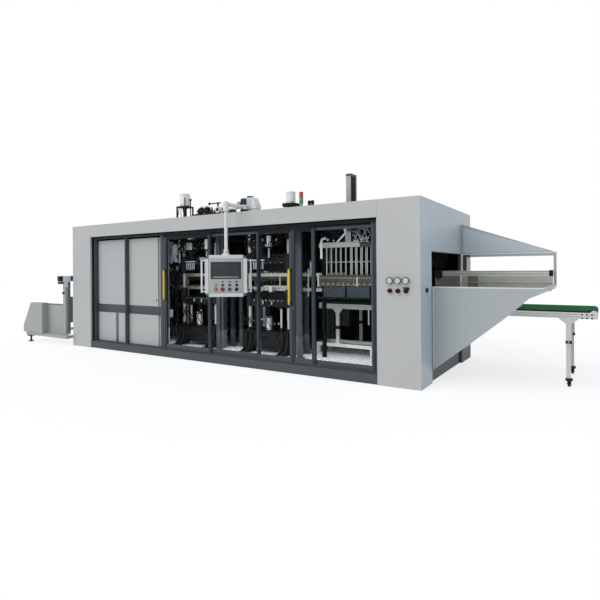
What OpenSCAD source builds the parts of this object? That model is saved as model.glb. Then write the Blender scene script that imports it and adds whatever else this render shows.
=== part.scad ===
// Plastic-sheet forming line: a long glazed cabinet over two press stations and a stacker,
// with a sheet feed unit at its left end and a discharge hood and belt conveyor at its right end.
// X runs along the sheet's travel, Y to the back, Z up. Modules are drawn from the cabinet's
// front right corner on the floor, then moved so that the origin is under the whole line.

/* [Cabinet] */
// Length of the cabinet, end face to end face
cab_l = 8100; // [6900:50:9800]
// Depth of the cabinet, front to back
cab_w = 3000; // [2800:50:3700]
// Height of the cabinet
cab_h = 2700; // [2600:50:3300]
// Width of each plain panel at the ends of the front
end_panel_w = 650; // [500:10:800]
// Height of the fascia above the doors
fascia_h = 260; // [180:10:320]
// Height of the dark plinth
plinth_h = 145; // [100:5:180]
// Depth of the folded edge of every cladding panel
fold = 40; // [30:1:60]
// Thickness of cladding sheet
sheet_t = 3; // [2:0.5:4]

/* [Front doors] */
// Face width of a door stile or bar
stile_w = 40; // [34:1:60]
// Face width of the stile that carries a handle
grip_stile_w = 95; // [80:1:110]
// Height of a door's bottom and top rail
rail_h = 80; // [50:1:100]
// Thickness of a door frame
leaf_t = 35; // [30:1:40]
// Thickness of the fixed bars behind the doors
bar_t = 30; // [24:1:36]
// Setback of the sliding doors behind the front
door_y = 80; // [70:1:100]
// Thickness of the clear panes
pane_t = 6; // [4:0.5:8]
// Length of a door handle
handle_l = 610; // [300:10:800]

/* [Electrical cabinet] */
// Gap between the front bars and its doors
elec_gap = 7; // [7:1:40]
// Its depth
elec_d = 290; // [250:5:400]
// Thickness of its doors
elec_door_t = 24; // [18:1:30]
// Height of the rail between upper doors and lower covers, its underside
elec_rail_z = 785; // [600:5:900]
// Height of that rail's face
elec_rail_h = 180; // [100:5:240]

/* [Presses] */
// Height of the sheet above the floor
web_z = 1475; // [1400:5:1550]
// Guide column diameter
column_d = 62; // [50:1:80]
// Guide column spacing along the line
column_dx = 885; // [800:5:960]
// Guide column spacing across the line
column_dy = 1300; // [1200:5:1400]
// Travel of each platen
platen_travel = 120; // [80:5:130]
// Width between the two chain rails
rail_gap_w = 780; // [700:5:860]

/* [Control panel] */
// Swivel of the panel away from the front
panel_yaw = 36; // [0:1:60]
// Width and height of the panel over its edge bars
panel_size = 700; // [600:5:800]
// Depth of the panel
panel_d = 140; // [100:5:180]
// Drop of the panel's pole below the arm
pole_drop = 860; // [700:10:1000]

/* [Discharge hood] */
// Reach of the hood beyond the cabinet
hood_l = 1620; // [1400:10:1800]
// Front of the opening in the end wall
gate_y0 = 515; // [450:5:600]
// Space behind the opening in the end wall
gate_back = 720; // [600:5:800]
// Top of the opening in the end wall
gate_z = 1940; // [1850:5:2050]
// Width of the square tubes
tube_w = 40; // [30:1:50]

/* [Conveyor] */
// Top of the belt above the floor
belt_z = 1090; // [1050:5:1120]
// Reach of the conveyor beyond the cabinet
conv_out = 2070; // [1900:10:2300]
// Length of the conveyor
conv_l = 4400; // [4100:10:4500]
// Width over the conveyor's side rails
conv_w = 1040; // [950:5:1080]
// Height of the side rails
conv_rail_h = 85; // [70:1:100]
// Radius of the end rollers
roller_r = 42; // [35:1:50]
// Height of a castor
castor_h = 127; // [120:1:140]

/* [Feed unit] */
// Reach of the feed unit beyond the cabinet
feed_l = 1730; // [1500:10:2000]
// How far the feed unit stands in front of the cabinet
feed_front = 200; // [150:5:260]
// Height of the roller on top of the feed unit, its axis
feed_roller_z = 1500; // [1400:5:1560]

/* [Hidden] */
$fn = 48;

gap = 1;               // seam between neighbouring cladding panels or bolted frames
slip = 0.05;           // radial clearance of a running fit
eps = 1;               // overlap of two shapes that are one piece

// Front opening and its six bays, left to right
open_x0 = -cab_l + end_panel_w;
open_w = cab_l - 2 * end_panel_w;
open_z1 = cab_h - fascia_h;
bay_share = [1088, 1199, 1163, 1120, 1105, 1125];
function total(v, n, i = 0) = i >= n ? 0 : v[i] + total(v, n, i + 1);
function along(f) = open_x0 + f * open_w;
function pane_x1(n) = n == 5 ? -end_panel_w - jamb_r : bay_x(n + 1) - stile_w / 2;
function bay_x(n) = along(total(bay_share, n) / total(bay_share, len(bay_share)));

// Door planes: sliding leaves in front, fixed bars and panes behind
header_h = 50;
sill_h = 20;
leaf_z0 = plinth_h + sill_h;
leaf_z1 = open_z1 - header_h - 10;
leaf_gap = 8;
fixed_y = door_y + leaf_t + leaf_gap;
bar_y1 = fixed_y + bar_t;
jamb_l = 60;
jamb_r = 120;
post_gap = 12;         // from the left door to the post beside it
post_l = 70;
lock_stile_f = 0.634;  // place of the right door's handle stile across its width
left_x0 = bay_x(2) - grip_stile_w / 2;
left_x1 = bay_x(3) + stile_w / 2;
right_x0 = bay_x(4) - stile_w / 2;
right_x1 = bay_x(5) + stile_w / 2;
lock_x = right_x0 + lock_stile_f * (right_x1 - right_x0);
handle_z = 1405;
handle_r = 17;
handle_out = 46;

// Floor plate on the base frame
floor_t = 5;
floor_z = plinth_h + floor_t;
beam_w = 120;
plinth_y = 20;

// Electrical cabinet fills the two left bays
elec_z0 = floor_z;
elec_y = bar_y1 + elec_gap;
elec_body_y = elec_y + elec_door_t + 4;
elec_mid = bay_x(1);
elec_mid_half = 30;
elec_top_z = elec_rail_z + elec_rail_h;
elec_x0 = bay_x(0) + jamb_l + 6;
elec_x1 = bay_x(2) - 285;
elec_wall = 25;
elec_z1 = leaf_z1 - 20;
elec_back = elec_y + elec_d;
door_a = [elec_x0 + 4, elec_mid - stile_w / 2 - 4];
door_b = [elec_mid + stile_w / 2 + 4, elec_x1 - 6];
hinge_zs = [elec_top_z + 150, elec_z1 - 250];
hinge_r = 5;
hinge_l = 30;
pin_r = 2.5;

// Stations
web_y = (gate_y0 + cab_w - gate_back) / 2;
forming_x = along(0.379);
cutting_x = along(0.637);
press_xs = [forming_x, cutting_x];
column_y = [web_y - column_dy / 2, web_y + column_dy / 2];
boss_r = column_d / 2 + 38;
base_z1 = 550;
crown_z = open_z1 - 130;
crown_h = 130;
lower_z = web_z - 475;
upper_z = web_z + 325;
plate_t = 140;
upper_t = 170;
tool_gap = 15;
post_w = 100;
post_dx = column_dx / 2 + boss_r + post_w / 2 + 65;
frame_post_x = [forming_x - post_dx - 400, forming_x + post_dx, cutting_x + post_dx];
base_half = column_dx / 2 + boss_r + 60;
rail_post_x = [-cab_l + fold + 30, forming_x - base_half - 90, (forming_x + cutting_x) / 2 - 30];
rail_beam = 60;
rail_low_z = web_z - 185;
rail_top_z = web_z + 85;
cylinder_r = 36;
cylinder_y = column_y[0] - 10;
cylinder_h = 260;
rod_r = 11;

// Stacker
stack_x0 = along(0.799);
stack_x1 = along(0.944);
stack_y = web_y - column_dy / 2;
stack_plate_z = 1412;
stack_plate_h = 176;
stack_bar_z = 2058;
stack_bar_h = 75;
stack_rods = 10;
bin_x = [stack_x0 + 110, stack_x0 + 550];
bin_l = 415;

// Control panel, hung from an arm over the roof edge
arm_x = along(0.618);
arm_y = -300;
arm_z = cab_h + 100;
arm_r = 34;
pivot_y = 180;
pole_r = 30;
panel_z1 = arm_z - pole_drop;
bar_w = 60;
face_w = panel_size - 2 * bar_w;
grip_x = panel_size / 2 + 62;
grip_r = 15;
button_z = panel_z1 - panel_size + 123;
button_dx = 116;
button_r = 20;
button_travel = 5;

// Gauges and knobs on the right end panel
gauge_x = -443;
gauge_dx = 119;
gauge_z = 1520;
gauge_r = 50;
knob_z = 1374;
knob_r = 29;
knob_stem_r = 8.5;

// Roof units
roof_y = 300;
roof_z = cab_h;
stand_h = 244;
stand_half = 118;
flange_z1 = 99;
stem_r = 10;
canister_l_x = along(0.386);
canister_r_x = along(0.7534);
tower_x = along(0.784);
vent_x = along(0.811);
lift_x = along(0.913);
lift_w = 84;
lift_d = 207;
valve_x = along(0.458);
lever_x = along(0.513);
motor_x = along(0.625);

// Discharge hood
hood_rise = 545;
hood_low_z = 190;
hood_z = 1380;
gate_y1 = cab_w - gate_back;
hood_rear_y = gate_y1 + 25;
hood_top_z = 2455;
hood_tip_z = 1940;
hood_end_x = hood_l - 120;
axis_z = 1558;
axis_h = 86;
axis_w = 60;
axis_x0 = -445;
axis_y = hood_rear_y - tube_w - axis_w - 6;
carriage_l = 120;

// Conveyor
conv_x1 = conv_out;
conv_x0 = conv_out - conv_l;
conv_y0 = gate_y1 - conv_w - 2;
conv_y1 = conv_y0 + conv_w;
conv_rail_w = 40;
conv_rail_z = belt_z - 34 - conv_rail_h;
belt_t = 3;
roller_z = belt_z - belt_t - roller_r;
roller_x1 = conv_x1 - roller_r - belt_t - 3;
roller_x0 = conv_x0 + roller_r + belt_t + 3;
belt_edge = 6;
stub_r = 12;
leg_x = 1715;
leg_w = 67;
leg_d = 50;
leg_in_x = -1948;
leg_ys = [conv_y0, conv_y1 - leg_d];
sleeve_z1 = 638;
low_frame_z = 340;
low_frame_x = [leg_in_x - 440, leg_in_x + 640];
castor_r = 38;
castor_trail = 30;
castor_t = 34;
castor_stem_r = 10;
axle_r = 6;

// Feed unit
feed_x0 = -cab_l - feed_l;
feed_y0 = -feed_front;
feed_y1 = 2 * web_y - feed_y0;
feed_box_l = 810;
feed_box_d = 140;
feed_rail_z = 160;
feed_rail_h = 70;
feed_post_x = -cab_l - 230;
feed_foot_x = feed_x0 + 190;
guide_r = 38;
guide_stub_r = 16;

// Whole line, for the origin
line_x0 = feed_x0;
line_x1 = conv_x1;
line_y0 = arm_y - max(panel_size / 2 * sin(panel_yaw) + (panel_d / 2 + 2) * cos(panel_yaw),
    grip_x * sin(panel_yaw) + grip_r);
line_y1 = max(cab_w, feed_y1);

module in_frame() {
    translate([-(line_x0 + line_x1) / 2, -(line_y0 + line_y1) / 2, 0]) children();
}

module box(a, b) {
    translate(a) cube(b - a);
}

// Folded tray: a flat sheet with turned edges, seen from outside at the low side of axis t
module tray(a, b, side) {
    t = [sheet_t, sheet_t, sheet_t];
    open_a = side == "y0" ? [0, 1, 0] : side == "x0" ? [1, 0, 0] : [0, 0, 0];
    open_b = side == "y1" ? [0, -1, 0] : side == "x1" ? [-1, 0, 0] : side == "z1" ? [0, 0, -1] : [0, 0, 0];
    over = [side[0] == "x" ? 10 : 0, side[0] == "y" ? 10 : 0, side[0] == "z" ? 10 : 0];
    low = side[1] == "1";
    difference() {
        box(a, b);
        box(a + t - (low ? over + [for (k = [0:2]) over[k] > 0 ? sheet_t : 0] : [0, 0, 0]),
            b - t + (low ? [0, 0, 0] : over + [for (k = [0:2]) over[k] > 0 ? sheet_t : 0]));
    }
}

// Square tube or bar between two points of an XZ plane
module strut(a, b, w, y0, y1) {
    d = b - a;
    translate([a[0], y0, a[1]]) rotate([0, -atan2(d[1], d[0]), 0])
        translate([0, 0, -w / 2]) cube([norm(d), y1 - y0, w]);
}

module rod(a, len, r, axis = "z") {
    translate(a) rotate(axis == "x" ? [0, 90, 0] : axis == "y" ? [-90, 0, 0] : [0, 0, 0])
        cylinder(h = len, r = r);
}

// Window frame in an XZ plane
module window_frame(x0, x1, z0, z1, w, h, y0, y1) {
    difference() {
        box([x0, y0, z0], [x1, y1, z1]);
        box([x0 + w, y0 - 1, z0 + h], [x1 - w, y1 + 1, z1 - h]);
    }
}

/* ---- cabinet ---- */

module base_frame() in_frame() color("#4d5256") {
    x0 = -cab_l + fold + gap;
    x1 = -fold - gap;
    y1 = cab_w - fold - gap;
    ledge_z = hood_low_z + 45;
    // ladder of beams on the floor; the front one is recessed between the end panels
    box([x0, fold + gap, 0], [x1, plinth_y + beam_w, plinth_h]);
    box([open_x0 + gap, plinth_y, 0], [-end_panel_w - gap, fold + gap + eps, plinth_h]);
    box([x0, y1 - beam_w, 0], [x1, y1, plinth_h]);
    for (x = concat([x0 + beam_w / 2, x1 - beam_w / 2], frame_post_x))
        box([x - beam_w / 2, fold + gap, 0], [x + beam_w / 2, y1, plinth_h]);
    // sill below the opening in the end wall, and a corner block
    box([x1 - beam_w, gate_y0 + 20, 0], [x1, y1, ledge_z]);
    box([x1 - beam_w, gate_y1 + 4, 0], [-2, y1, ledge_z]);
    // portals that carry the stations, bolted to the ladder
    for (y = column_y) {
        for (x = frame_post_x)
            box([x - post_w / 2, y - post_w / 2, plinth_h + gap], [x + post_w / 2, y + post_w / 2, crown_z + crown_h]);
        box([frame_post_x[0] - post_w / 2, y - post_w / 2, crown_z + crown_h - eps],
            [-fold - 20, y + post_w / 2, cab_h - fold - 60]);
    }
}

module floor_plate() in_frame() color("#d5d7d8") difference() {
    box([-cab_l + fold + 60, bar_y1 + 3, plinth_h], [-fold - gap - beam_w - 1, cab_w - fold - 30, floor_z]);
    for (x = frame_post_x, y = column_y)
        box([x - post_w / 2 - 2, y - post_w / 2 - 2, plinth_h - 5],
            [x + post_w / 2 + 2, y + post_w / 2 + 2, floor_z + 5]);
}

module front_panels() in_frame() color("#b9bcbd") {
    tray([-cab_l, 0, 0], [open_x0, fold, cab_h], "y0");
    difference() {
        tray([-end_panel_w, 0, 0], [0, fold, cab_h], "y0");
        for (i = [0:2]) {
            rod([gauge_x + i * gauge_dx, -5, gauge_z], 20, gauge_r - 10, "y");
            rod([gauge_x + i * gauge_dx, -5, knob_z], 20, knob_stem_r + slip, "y");
        }
    }
    tray([open_x0 + gap, 0, open_z1], [-end_panel_w - gap, fold, cab_h], "y0");
}

module outer_panels() in_frame() color("#b0b4b6") {
    difference() {
        tray([-cab_l, fold + gap, 0], [-cab_l + fold, cab_w, cab_h - fold - gap], "x0");
        box([-cab_l - 5, web_y - 560, web_z - 130], [-cab_l + 20, web_y + 560, web_z + 160]);
    }
    tray([-cab_l + fold + gap, cab_w - fold, 0], [-fold - gap, cab_w, cab_h - fold - gap], "y1");
    difference() {
        tray([-cab_l, fold + gap, cab_h - fold], [0, cab_w, cab_h], "z1");
        box([lift_x - lift_w / 2 - 3, roof_y - 3, cab_h - fold - 5],
            [lift_x + lift_w / 2 + 3, roof_y + lift_d + 3, cab_h + 5]);
    }
}

module right_wall() in_frame() color("#a3adb4") difference() {
    tray([-fold, fold + gap, 0], [0, cab_w, cab_h - fold - gap], "x1");
    box([-fold - 5, gate_y0, -5], [5, gate_y1, gate_z]);
    box([-fold - 5, gate_y1 - 5, -5], [5, cab_w + 5, hood_low_z + 48]);
    rod([-10, 239, 1378], 20, 22, "x");
}

module front_frame() in_frame() color("#3a444b") {
    z0 = leaf_z0 - 5;
    z1 = open_z1 - header_h;
    // header, sill and both jambs of the whole opening
    box([open_x0 + gap, fold + gap, z1], [-end_panel_w - gap, bar_y1, open_z1 - gap]);
    box([open_x0 + gap, door_y - 6, plinth_h + gap], [-end_panel_w - gap, bar_y1, z0 + eps]);
    box([open_x0 + gap, door_y, z0], [open_x0 + jamb_l, bar_y1, z1 + eps]);
    box([-end_panel_w - jamb_r, door_y, z0], [-end_panel_w - gap, bar_y1, z1 + eps]);
    // bars between the bays; the two in front of the electrical cabinet are full depth
    for (n = [2:5])
        box([bay_x(n) - stile_w / 2, fixed_y, z0], [bay_x(n) + stile_w / 2, bar_y1, z1 + eps]);
    box([bay_x(1) - stile_w / 2, door_y, z0], [bay_x(1) + stile_w / 2, bar_y1, z1 + eps]);
    box([left_x0 - post_gap - post_l, door_y, z0], [left_x0 - post_gap, bar_y1, z1 + eps]);
    // bottom and top rails of the fixed panes
    for (n = [3, 5]) for (z = [z0, z1 - rail_h])
        box([bay_x(n), fixed_y, z], [pane_x1(n) + eps, bar_y1, z + rail_h + eps]);
}

module fixed_panes() in_frame() color("#a8c4cc", 0.3) for (n = [3, 5])
    box([bay_x(n) + stile_w / 2, fixed_y + 12, leaf_z0 + rail_h - 4],
        [pane_x1(n), fixed_y + 12 + pane_t, open_z1 - header_h - rail_h]);

/* ---- sliding doors ---- */

// Sliding leaf with an upright between bar_x0 and bar_x1
module leaf(x0, x1, bar_x0, bar_x1) {
    window_frame(x0, x1, leaf_z0, leaf_z1, stile_w, rail_h, door_y, door_y + leaf_t);
    box([bar_x0, door_y, leaf_z0 + rail_h - eps], [bar_x1, door_y + leaf_t, leaf_z1 - rail_h + eps]);
}

module bar_handle(x) {
    rod([x, door_y - handle_out, handle_z - handle_l / 2], handle_l, handle_r);
    for (z = [handle_z - handle_l / 2 + 30, handle_z + handle_l / 2 - 30])
        rod([x, door_y - handle_out, z], handle_out + eps, handle_r * 0.7, "y");
}

module leaf_pane(x0, x1) {
    box([x0, door_y + 14, leaf_z0 + rail_h], [x1, door_y + 14 + pane_t, leaf_z1 - rail_h]);
}

module door_left() in_frame() color("#3d474e") {
    leaf(left_x0, left_x1, left_x0 + stile_w - eps, left_x0 + grip_stile_w);
    bar_handle(left_x0 + grip_stile_w * 0.7);
}

module door_left_pane() in_frame() color("#a8c4cc", 0.3)
    leaf_pane(left_x0 + grip_stile_w, left_x1 - stile_w);

module door_right() in_frame() color("#3d474e") {
    leaf(right_x0, right_x1, lock_x - grip_stile_w / 2, lock_x + grip_stile_w / 2);
    bar_handle(lock_x - grip_stile_w * 0.3);
}

module door_right_pane() in_frame() color("#a8c4cc", 0.3) {
    leaf_pane(right_x0 + stile_w, lock_x - grip_stile_w / 2);
    leaf_pane(lock_x + grip_stile_w / 2, right_x1 - stile_w);
}

/* ---- electrical cabinet ---- */

module cabinet_body() in_frame() color("#c3c6c7") {
    cover_y1 = elec_body_y + eps;
    difference() {
        box([elec_x0, elec_body_y, elec_z0 + gap], [elec_x1, elec_back, elec_z1]);
        for (b = [[elec_x0 + elec_wall, elec_mid - elec_mid_half], [elec_mid + elec_mid_half, elec_x1 - elec_wall]])
            box([b[0], elec_y, elec_top_z + 20], [b[1], elec_back - elec_wall, elec_z1 - elec_wall]);
        box([elec_x0 + elec_wall, elec_y, elec_z0 + elec_wall],
            [elec_x1 - elec_wall, elec_back - elec_wall, elec_rail_z - 20]);
    }
    // rail between the doors and the lower covers, and the covers
    box([elec_x0, elec_y, elec_rail_z], [elec_x1, cover_y1, elec_top_z - 4]);
    for (b = [[elec_x0, elec_mid - 190], [elec_mid - 150, elec_mid - 2], [elec_mid + 2, elec_x1]])
        box([b[0], elec_y, elec_z0 + gap], [b[1], cover_y1, elec_rail_z - 3]);
    // edge strip between the cabinet and the next post of the front
    box([elec_x1 - eps, elec_body_y, elec_z0 + gap], [left_x0 - 60, elec_body_y + 3, elec_z1]);
    // lower halves of the lift-off hinges, with their pins
    for (x = [door_a[0], door_b[0]], z = hinge_zs) {
        rod([x + 1, elec_y, z], hinge_l, hinge_r);
        rod([x + 1, elec_y, z + hinge_l - eps], hinge_l, pin_r - slip);
        box([x - 4, elec_y, z], [x - 1, cover_y1, z + hinge_l]);
    }
}

module cabinet_door(x) difference() {
    union() {
        difference() {
            box([x[0], elec_y, elec_top_z], [x[1], elec_y + elec_door_t, elec_z1 - 4]);
            box([x[0] + 2, elec_y + 2, elec_top_z + 2], [x[1] - 2, elec_y + elec_door_t + 1, elec_z1 - 6]);
            for (z = hinge_zs)
                box([x[0] - 1, elec_y - 1, z - 2], [x[0] + hinge_r + 3, elec_y + hinge_r + 3, z + hinge_l + gap]);
        }
        rod([x[1] - 40, elec_y - 6, 1088], 9, 16, "y");
        // upper halves of the hinges
        for (z = hinge_zs)
            rod([x[0] + 1, elec_y, z + hinge_l + gap], hinge_l + 5, hinge_r);
    }
    for (z = hinge_zs)
        rod([x[0] + 1, elec_y, z + hinge_l - 2], hinge_l + 4, pin_r);
}

module cabinet_door_left() in_frame() color("#c3c6c7") cabinet_door(door_a);

module cabinet_door_right() in_frame() color("#c3c6c7") cabinet_door(door_b);

/* ---- press stations ---- */

module press_columns() in_frame() color("#d9dcde") for (x = press_xs, sx = [-1, 1], y = column_y)
    rod([x + sx * column_dx / 2, y, base_z1], crown_z - base_z1, column_d / 2);

// One cast base: two arched cheeks under a table
module press_base(x) {
    half = base_half - 60;
    cheek_t = 120;
    for (y = column_y) translate([x, y + cheek_t / 2, 0]) rotate([90, 0, 0])
        linear_extrude(height = cheek_t) difference() {
            polygon([[-base_half, floor_z], [base_half, floor_z], [half, base_z1], [-half, base_z1]]);
            translate([0, floor_z - 60]) circle(r = half - 140);
        }
    box([x - half, column_y[0] + cheek_t / 2 - 1, base_z1 - 110], [x + half, column_y[1] - cheek_t / 2 + 1, base_z1]);
}

module press_bases() in_frame() color("#26282a") for (x = press_xs) press_base(x);

module press_crown(x) {
    half = column_dx / 2 + boss_r;
    box([x - half, column_y[0] - boss_r, crown_z], [x + half, column_y[1] + boss_r, crown_z + crown_h - 30]);
    for (dx = [-260, 0, 260])
        box([x + dx - 15, column_y[0] - boss_r, crown_z + crown_h - 31],
            [x + dx + 15, column_y[1] + boss_r, crown_z + crown_h - 2]);
    // drive motor hung below the crown at the front
    rod([x - 30, column_y[0] + 90, crown_z - 150], 151, 62);
    box([x - 110, column_y[0] + 10, crown_z - 40], [x + 50, column_y[0] + 170, crown_z + 1]);
}

module press_crowns() in_frame() color("#1f2022") for (x = press_xs) press_crown(x);

// A platen with a bored boss round each column and a tool block between the rails
module platen(x, z, t, boss_low, boss_high, tool_low, tool_high) {
    half = column_dx / 2;
    difference() {
        union() {
            box([x - half - 20, column_y[0] - 40, z], [x + half + 20, column_y[1] + 40, z + t]);
            for (sx = [-1, 1], y = column_y)
                rod([x + sx * half, y, boss_low], boss_high - boss_low, boss_r);
            box([x - half + 60, web_y - rail_gap_w / 2 + 40, tool_low], [x + half - 60, web_y + rail_gap_w / 2 - 40, tool_high]);
        }
        for (sx = [-1, 1], y = column_y)
            rod([x + sx * half, y, boss_low - 10], boss_high - boss_low + 20, column_d / 2 + slip);
    }
}

module lower_platen(x) {
    platen(x, lower_z, plate_t, lower_z, lower_z + 320, lower_z + plate_t - 1, web_z - platen_travel - tool_gap);
    // lift rod, down into its cylinder
    rod([x, cylinder_y, base_z1 + 110], lower_z - base_z1 - 109, rod_r);
}

module upper_platen(x)
    platen(x, upper_z, upper_t, upper_z - 165, upper_z + upper_t, web_z + platen_travel + tool_gap, upper_z + 1);

module forming_lower_platen() in_frame() color("#2b2d2f") lower_platen(forming_x);
module forming_upper_platen() in_frame() color("#2b2d2f") upper_platen(forming_x);
module cutting_lower_platen() in_frame() color("#303234") lower_platen(cutting_x);
module cutting_upper_platen() in_frame() color("#303234") upper_platen(cutting_x);

module press_cylinders() in_frame() color("#e4e5e4") for (x = press_xs) {
    difference() {
        rod([x, cylinder_y, base_z1 + 1], cylinder_h, cylinder_r);
        rod([x, cylinder_y, base_z1 + 40], cylinder_h, rod_r + slip);
    }
}

module chain_rails() in_frame() color("#c9c6b8") for (s = [-1, 1]) {
    y0 = web_y + s * rail_gap_w / 2 - 30;
    for (z = [rail_low_z, rail_top_z])
        box([-cab_l + fold + 30, y0, z], [stack_x0 - 40, y0 + 60, z + rail_beam]);
    for (x = rail_post_x)
        box([x, y0 + 5, floor_z], [x + 60, y0 + 55, rail_top_z + 1]);
    box([stack_x0 - 100, y0 + 5, rail_low_z + 1], [stack_x0 - 40, y0 + 55, rail_top_z + 1]);
}

module oven() in_frame() color("#8f9294") {
    x0 = along(0.03);
    x1 = along(0.262);
    for (z = [rail_low_z - 190, rail_top_z + rail_beam + 20])
        box([x0, web_y - 470, z], [x1, web_y + 470, z + 160]);
    for (x = [x0, x1 - 60], y = [web_y - 530, web_y + 470])
        box([x, y, floor_z], [x + 60, y + 60, rail_top_z + rail_beam + 180]);
}

/* ---- stacker ---- */

module stacker_frame() in_frame() color("#43484b") {
    x0 = stack_x0 - 14;
    x1 = stack_x1 + 80;
    top_z = stack_bar_z + 240;
    bin_z = stack_plate_z - 195;
    for (x = [x0, x1 - 60])
        box([x, stack_y + 70, floor_z], [x + 60, stack_y + 130, top_z]);
    box([x0, stack_y + 70, top_z - 60], [x1, stack_y + 130, top_z]);
    // two bins and the shelf that they stand on
    for (x = bin_x)
        box([x, stack_y - 90, bin_z], [x + bin_l, stack_y + 70 + eps, stack_plate_z - 12]);
    box([x0, stack_y - 60, bin_z - 20], [x1, stack_y + 129, bin_z + eps]);
}

// Beam, vertical rods and setting plate; it rises to clear the bins
module stacker_head() in_frame() color("#cfccc0") {
    plate_z1 = stack_plate_z + stack_plate_h;
    box([stack_x0, stack_y - 50, stack_bar_z], [stack_x1, stack_y + 50, stack_bar_z + stack_bar_h]);
    for (i = [0:stack_rods - 1])
        rod([stack_x0 + 128 + i * 92, stack_y, plate_z1 - eps], stack_bar_z - plate_z1 + 2 * eps, 12);
    box([stack_x0, stack_y - 90, stack_plate_z], [stack_x1, stack_y + 60, plate_z1]);
}

/* ---- roof units ---- */

module canister(x, z, h, r) {
    rod([x, roof_y, z], 12, r - 10);
    rod([x, roof_y, z + 11], h - 11, r);
}

module roof_canisters() in_frame() color("#dfe1e2") {
    canister(canister_l_x, roof_z + stand_h, 246, 100);
    canister(canister_r_x, roof_z + flange_z1, 203, 80);
}

module canister_mounts() in_frame() color("#1d1e20") {
    // four-legged stand
    box([canister_l_x - stand_half, roof_y - stand_half, roof_z + stand_h - 25],
        [canister_l_x + stand_half, roof_y + stand_half, roof_z + stand_h]);
    for (dx = [-stand_half, stand_half - 24], dy = [-stand_half, stand_half - 24])
        box([canister_l_x + dx, roof_y + dy, roof_z], [canister_l_x + dx + 24, roof_y + dy + 24, roof_z + stand_h - 24]);
    rod([canister_l_x, roof_y, roof_z], stand_h - 24, 36);
    rod([canister_l_x + 106, roof_y - 106, roof_z + stand_h - eps], 165, 10);
    // flange with its four bolts
    rod([canister_r_x, roof_y, roof_z], 61, 60);
    rod([canister_r_x, roof_y, roof_z + 60], flange_z1 - 60, 148);
    for (a = [45:90:315])
        rod([canister_r_x + 122 * cos(a), roof_y + 122 * sin(a), roof_z + flange_z1 - eps], 16, 11);
    // twin vents
    box([vent_x - 60, roof_y - 30, roof_z], [vent_x + 60, roof_y + 50, roof_z + 50]);
    for (dx = [-30, 30]) {
        rod([vent_x + dx, roof_y + 10, roof_z + 49], 45, 24);
        translate([vent_x + dx, roof_y + 10, roof_z + 100]) sphere(r = 32);
    }
}

module valve_block() in_frame() color("#1f2123") {
    box([valve_x - 145, roof_y - 50, roof_z], [valve_x + 145, roof_y + 60, roof_z + 80]);
    for (i = [0:3]) {
        rod([valve_x - 108 + i * 70, roof_y - 5, roof_z + 79], 90 + 24 * (i % 2), 22);
        rod([valve_x - 108 + i * 70, roof_y - 75, roof_z + 45], 30, 16, "y");
    }
    box([valve_x - 130, roof_y + 20, roof_z + 79], [valve_x + 130, roof_y + 55, roof_z + 190]);
    // ball valve under the lever
    rod([lever_x, roof_y, roof_z], 150, 38);
    rod([lever_x, roof_y, roof_z + 149], 76, 16);
    rod([lever_x, roof_y, roof_z + 224], 40, stem_r - slip);
    rod([lever_x - 62, roof_y, roof_z + 90], 124, 46, "x");
}

module valve_lever() in_frame() color("#151617") difference() {
    union() {
        rod([lever_x, roof_y, roof_z + 232], 26, 28);
        box([lever_x - 215, roof_y - 12, roof_z + 240], [lever_x + 70, roof_y + 12, roof_z + 256]);
        rod([lever_x - 215, roof_y, roof_z + 230], 42, 22);
    }
    rod([lever_x, roof_y, roof_z + 200], 80, stem_r);
}

module roof_gearmotor() in_frame() color("#b7babc") {
    y0 = roof_y - 50;
    box([motor_x - 150, y0 + 20, roof_z], [motor_x + 150, y0 + 160, roof_z + 76]);
    box([motor_x - 160, y0, roof_z + 75], [motor_x - 90, y0 + 180, roof_z + 285]);
    box([motor_x - 91, y0, roof_z + 75], [motor_x + 80, y0 + 160, roof_z + 275]);
    translate([motor_x + 79, y0 + 160, roof_z + 75]) rotate([90, 0, 0])
        linear_extrude(height = 160) polygon([[0, 0], [84, 0], [84, 60], [20, 185], [0, 200]]);
}

module tower_light() in_frame() color("#c8cacb") {
    rod([tower_x, roof_y, roof_z], 12, 50);
    rod([tower_x, roof_y, roof_z + 11], 80, 28);
    rod([tower_x, roof_y, roof_z + 90], 88, 33);
    rod([tower_x, roof_y, roof_z + 177], 6, 28);
    rod([tower_x, roof_y, roof_z + 182], 88, 33);
}

module vertical_axis() in_frame() color("#55595c") {
    box([lift_x - lift_w / 2, roof_y, open_z1 - 140], [lift_x + lift_w / 2, roof_y + lift_d, roof_z + 455]);
    box([lift_x - lift_w / 2 - 2, roof_y - 2, roof_z + 454], [lift_x + lift_w / 2 + 2, roof_y + lift_d + 2, roof_z + 490]);
}

module arm_bearing() in_frame() color("#2a2c2e") {
    rod([arm_x, pivot_y, roof_z], 14, 85);
    difference() {
        rod([arm_x, pivot_y, roof_z + 13], 46, 62);
        rod([arm_x, pivot_y, roof_z + 20], 60, 30 + slip);
    }
}

/* ---- control panel ---- */

module swing_arm() in_frame() color("#d3d5d6") {
    rod([arm_x, pivot_y, roof_z + 21], 80, 30);
    rod([arm_x, pivot_y, roof_z + 60], 78, 56);
    rod([arm_x, arm_y, arm_z], pivot_y - arm_y, arm_r, "y");
    translate([arm_x, arm_y, arm_z]) sphere(r = 58);
    rod([arm_x, arm_y, arm_z - 120], 121, 50);
    rod([arm_x, arm_y, panel_z1 + 90], arm_z - 119 - panel_z1 - 90, pole_r);
    rod([arm_x, arm_y, panel_z1 + 51], 40, 44);
}

module panel_frame(dx = 0) {
    translate([arm_x, arm_y, 0]) rotate([0, 0, panel_yaw]) translate([dx, 0, 0]) children();
}

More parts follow.
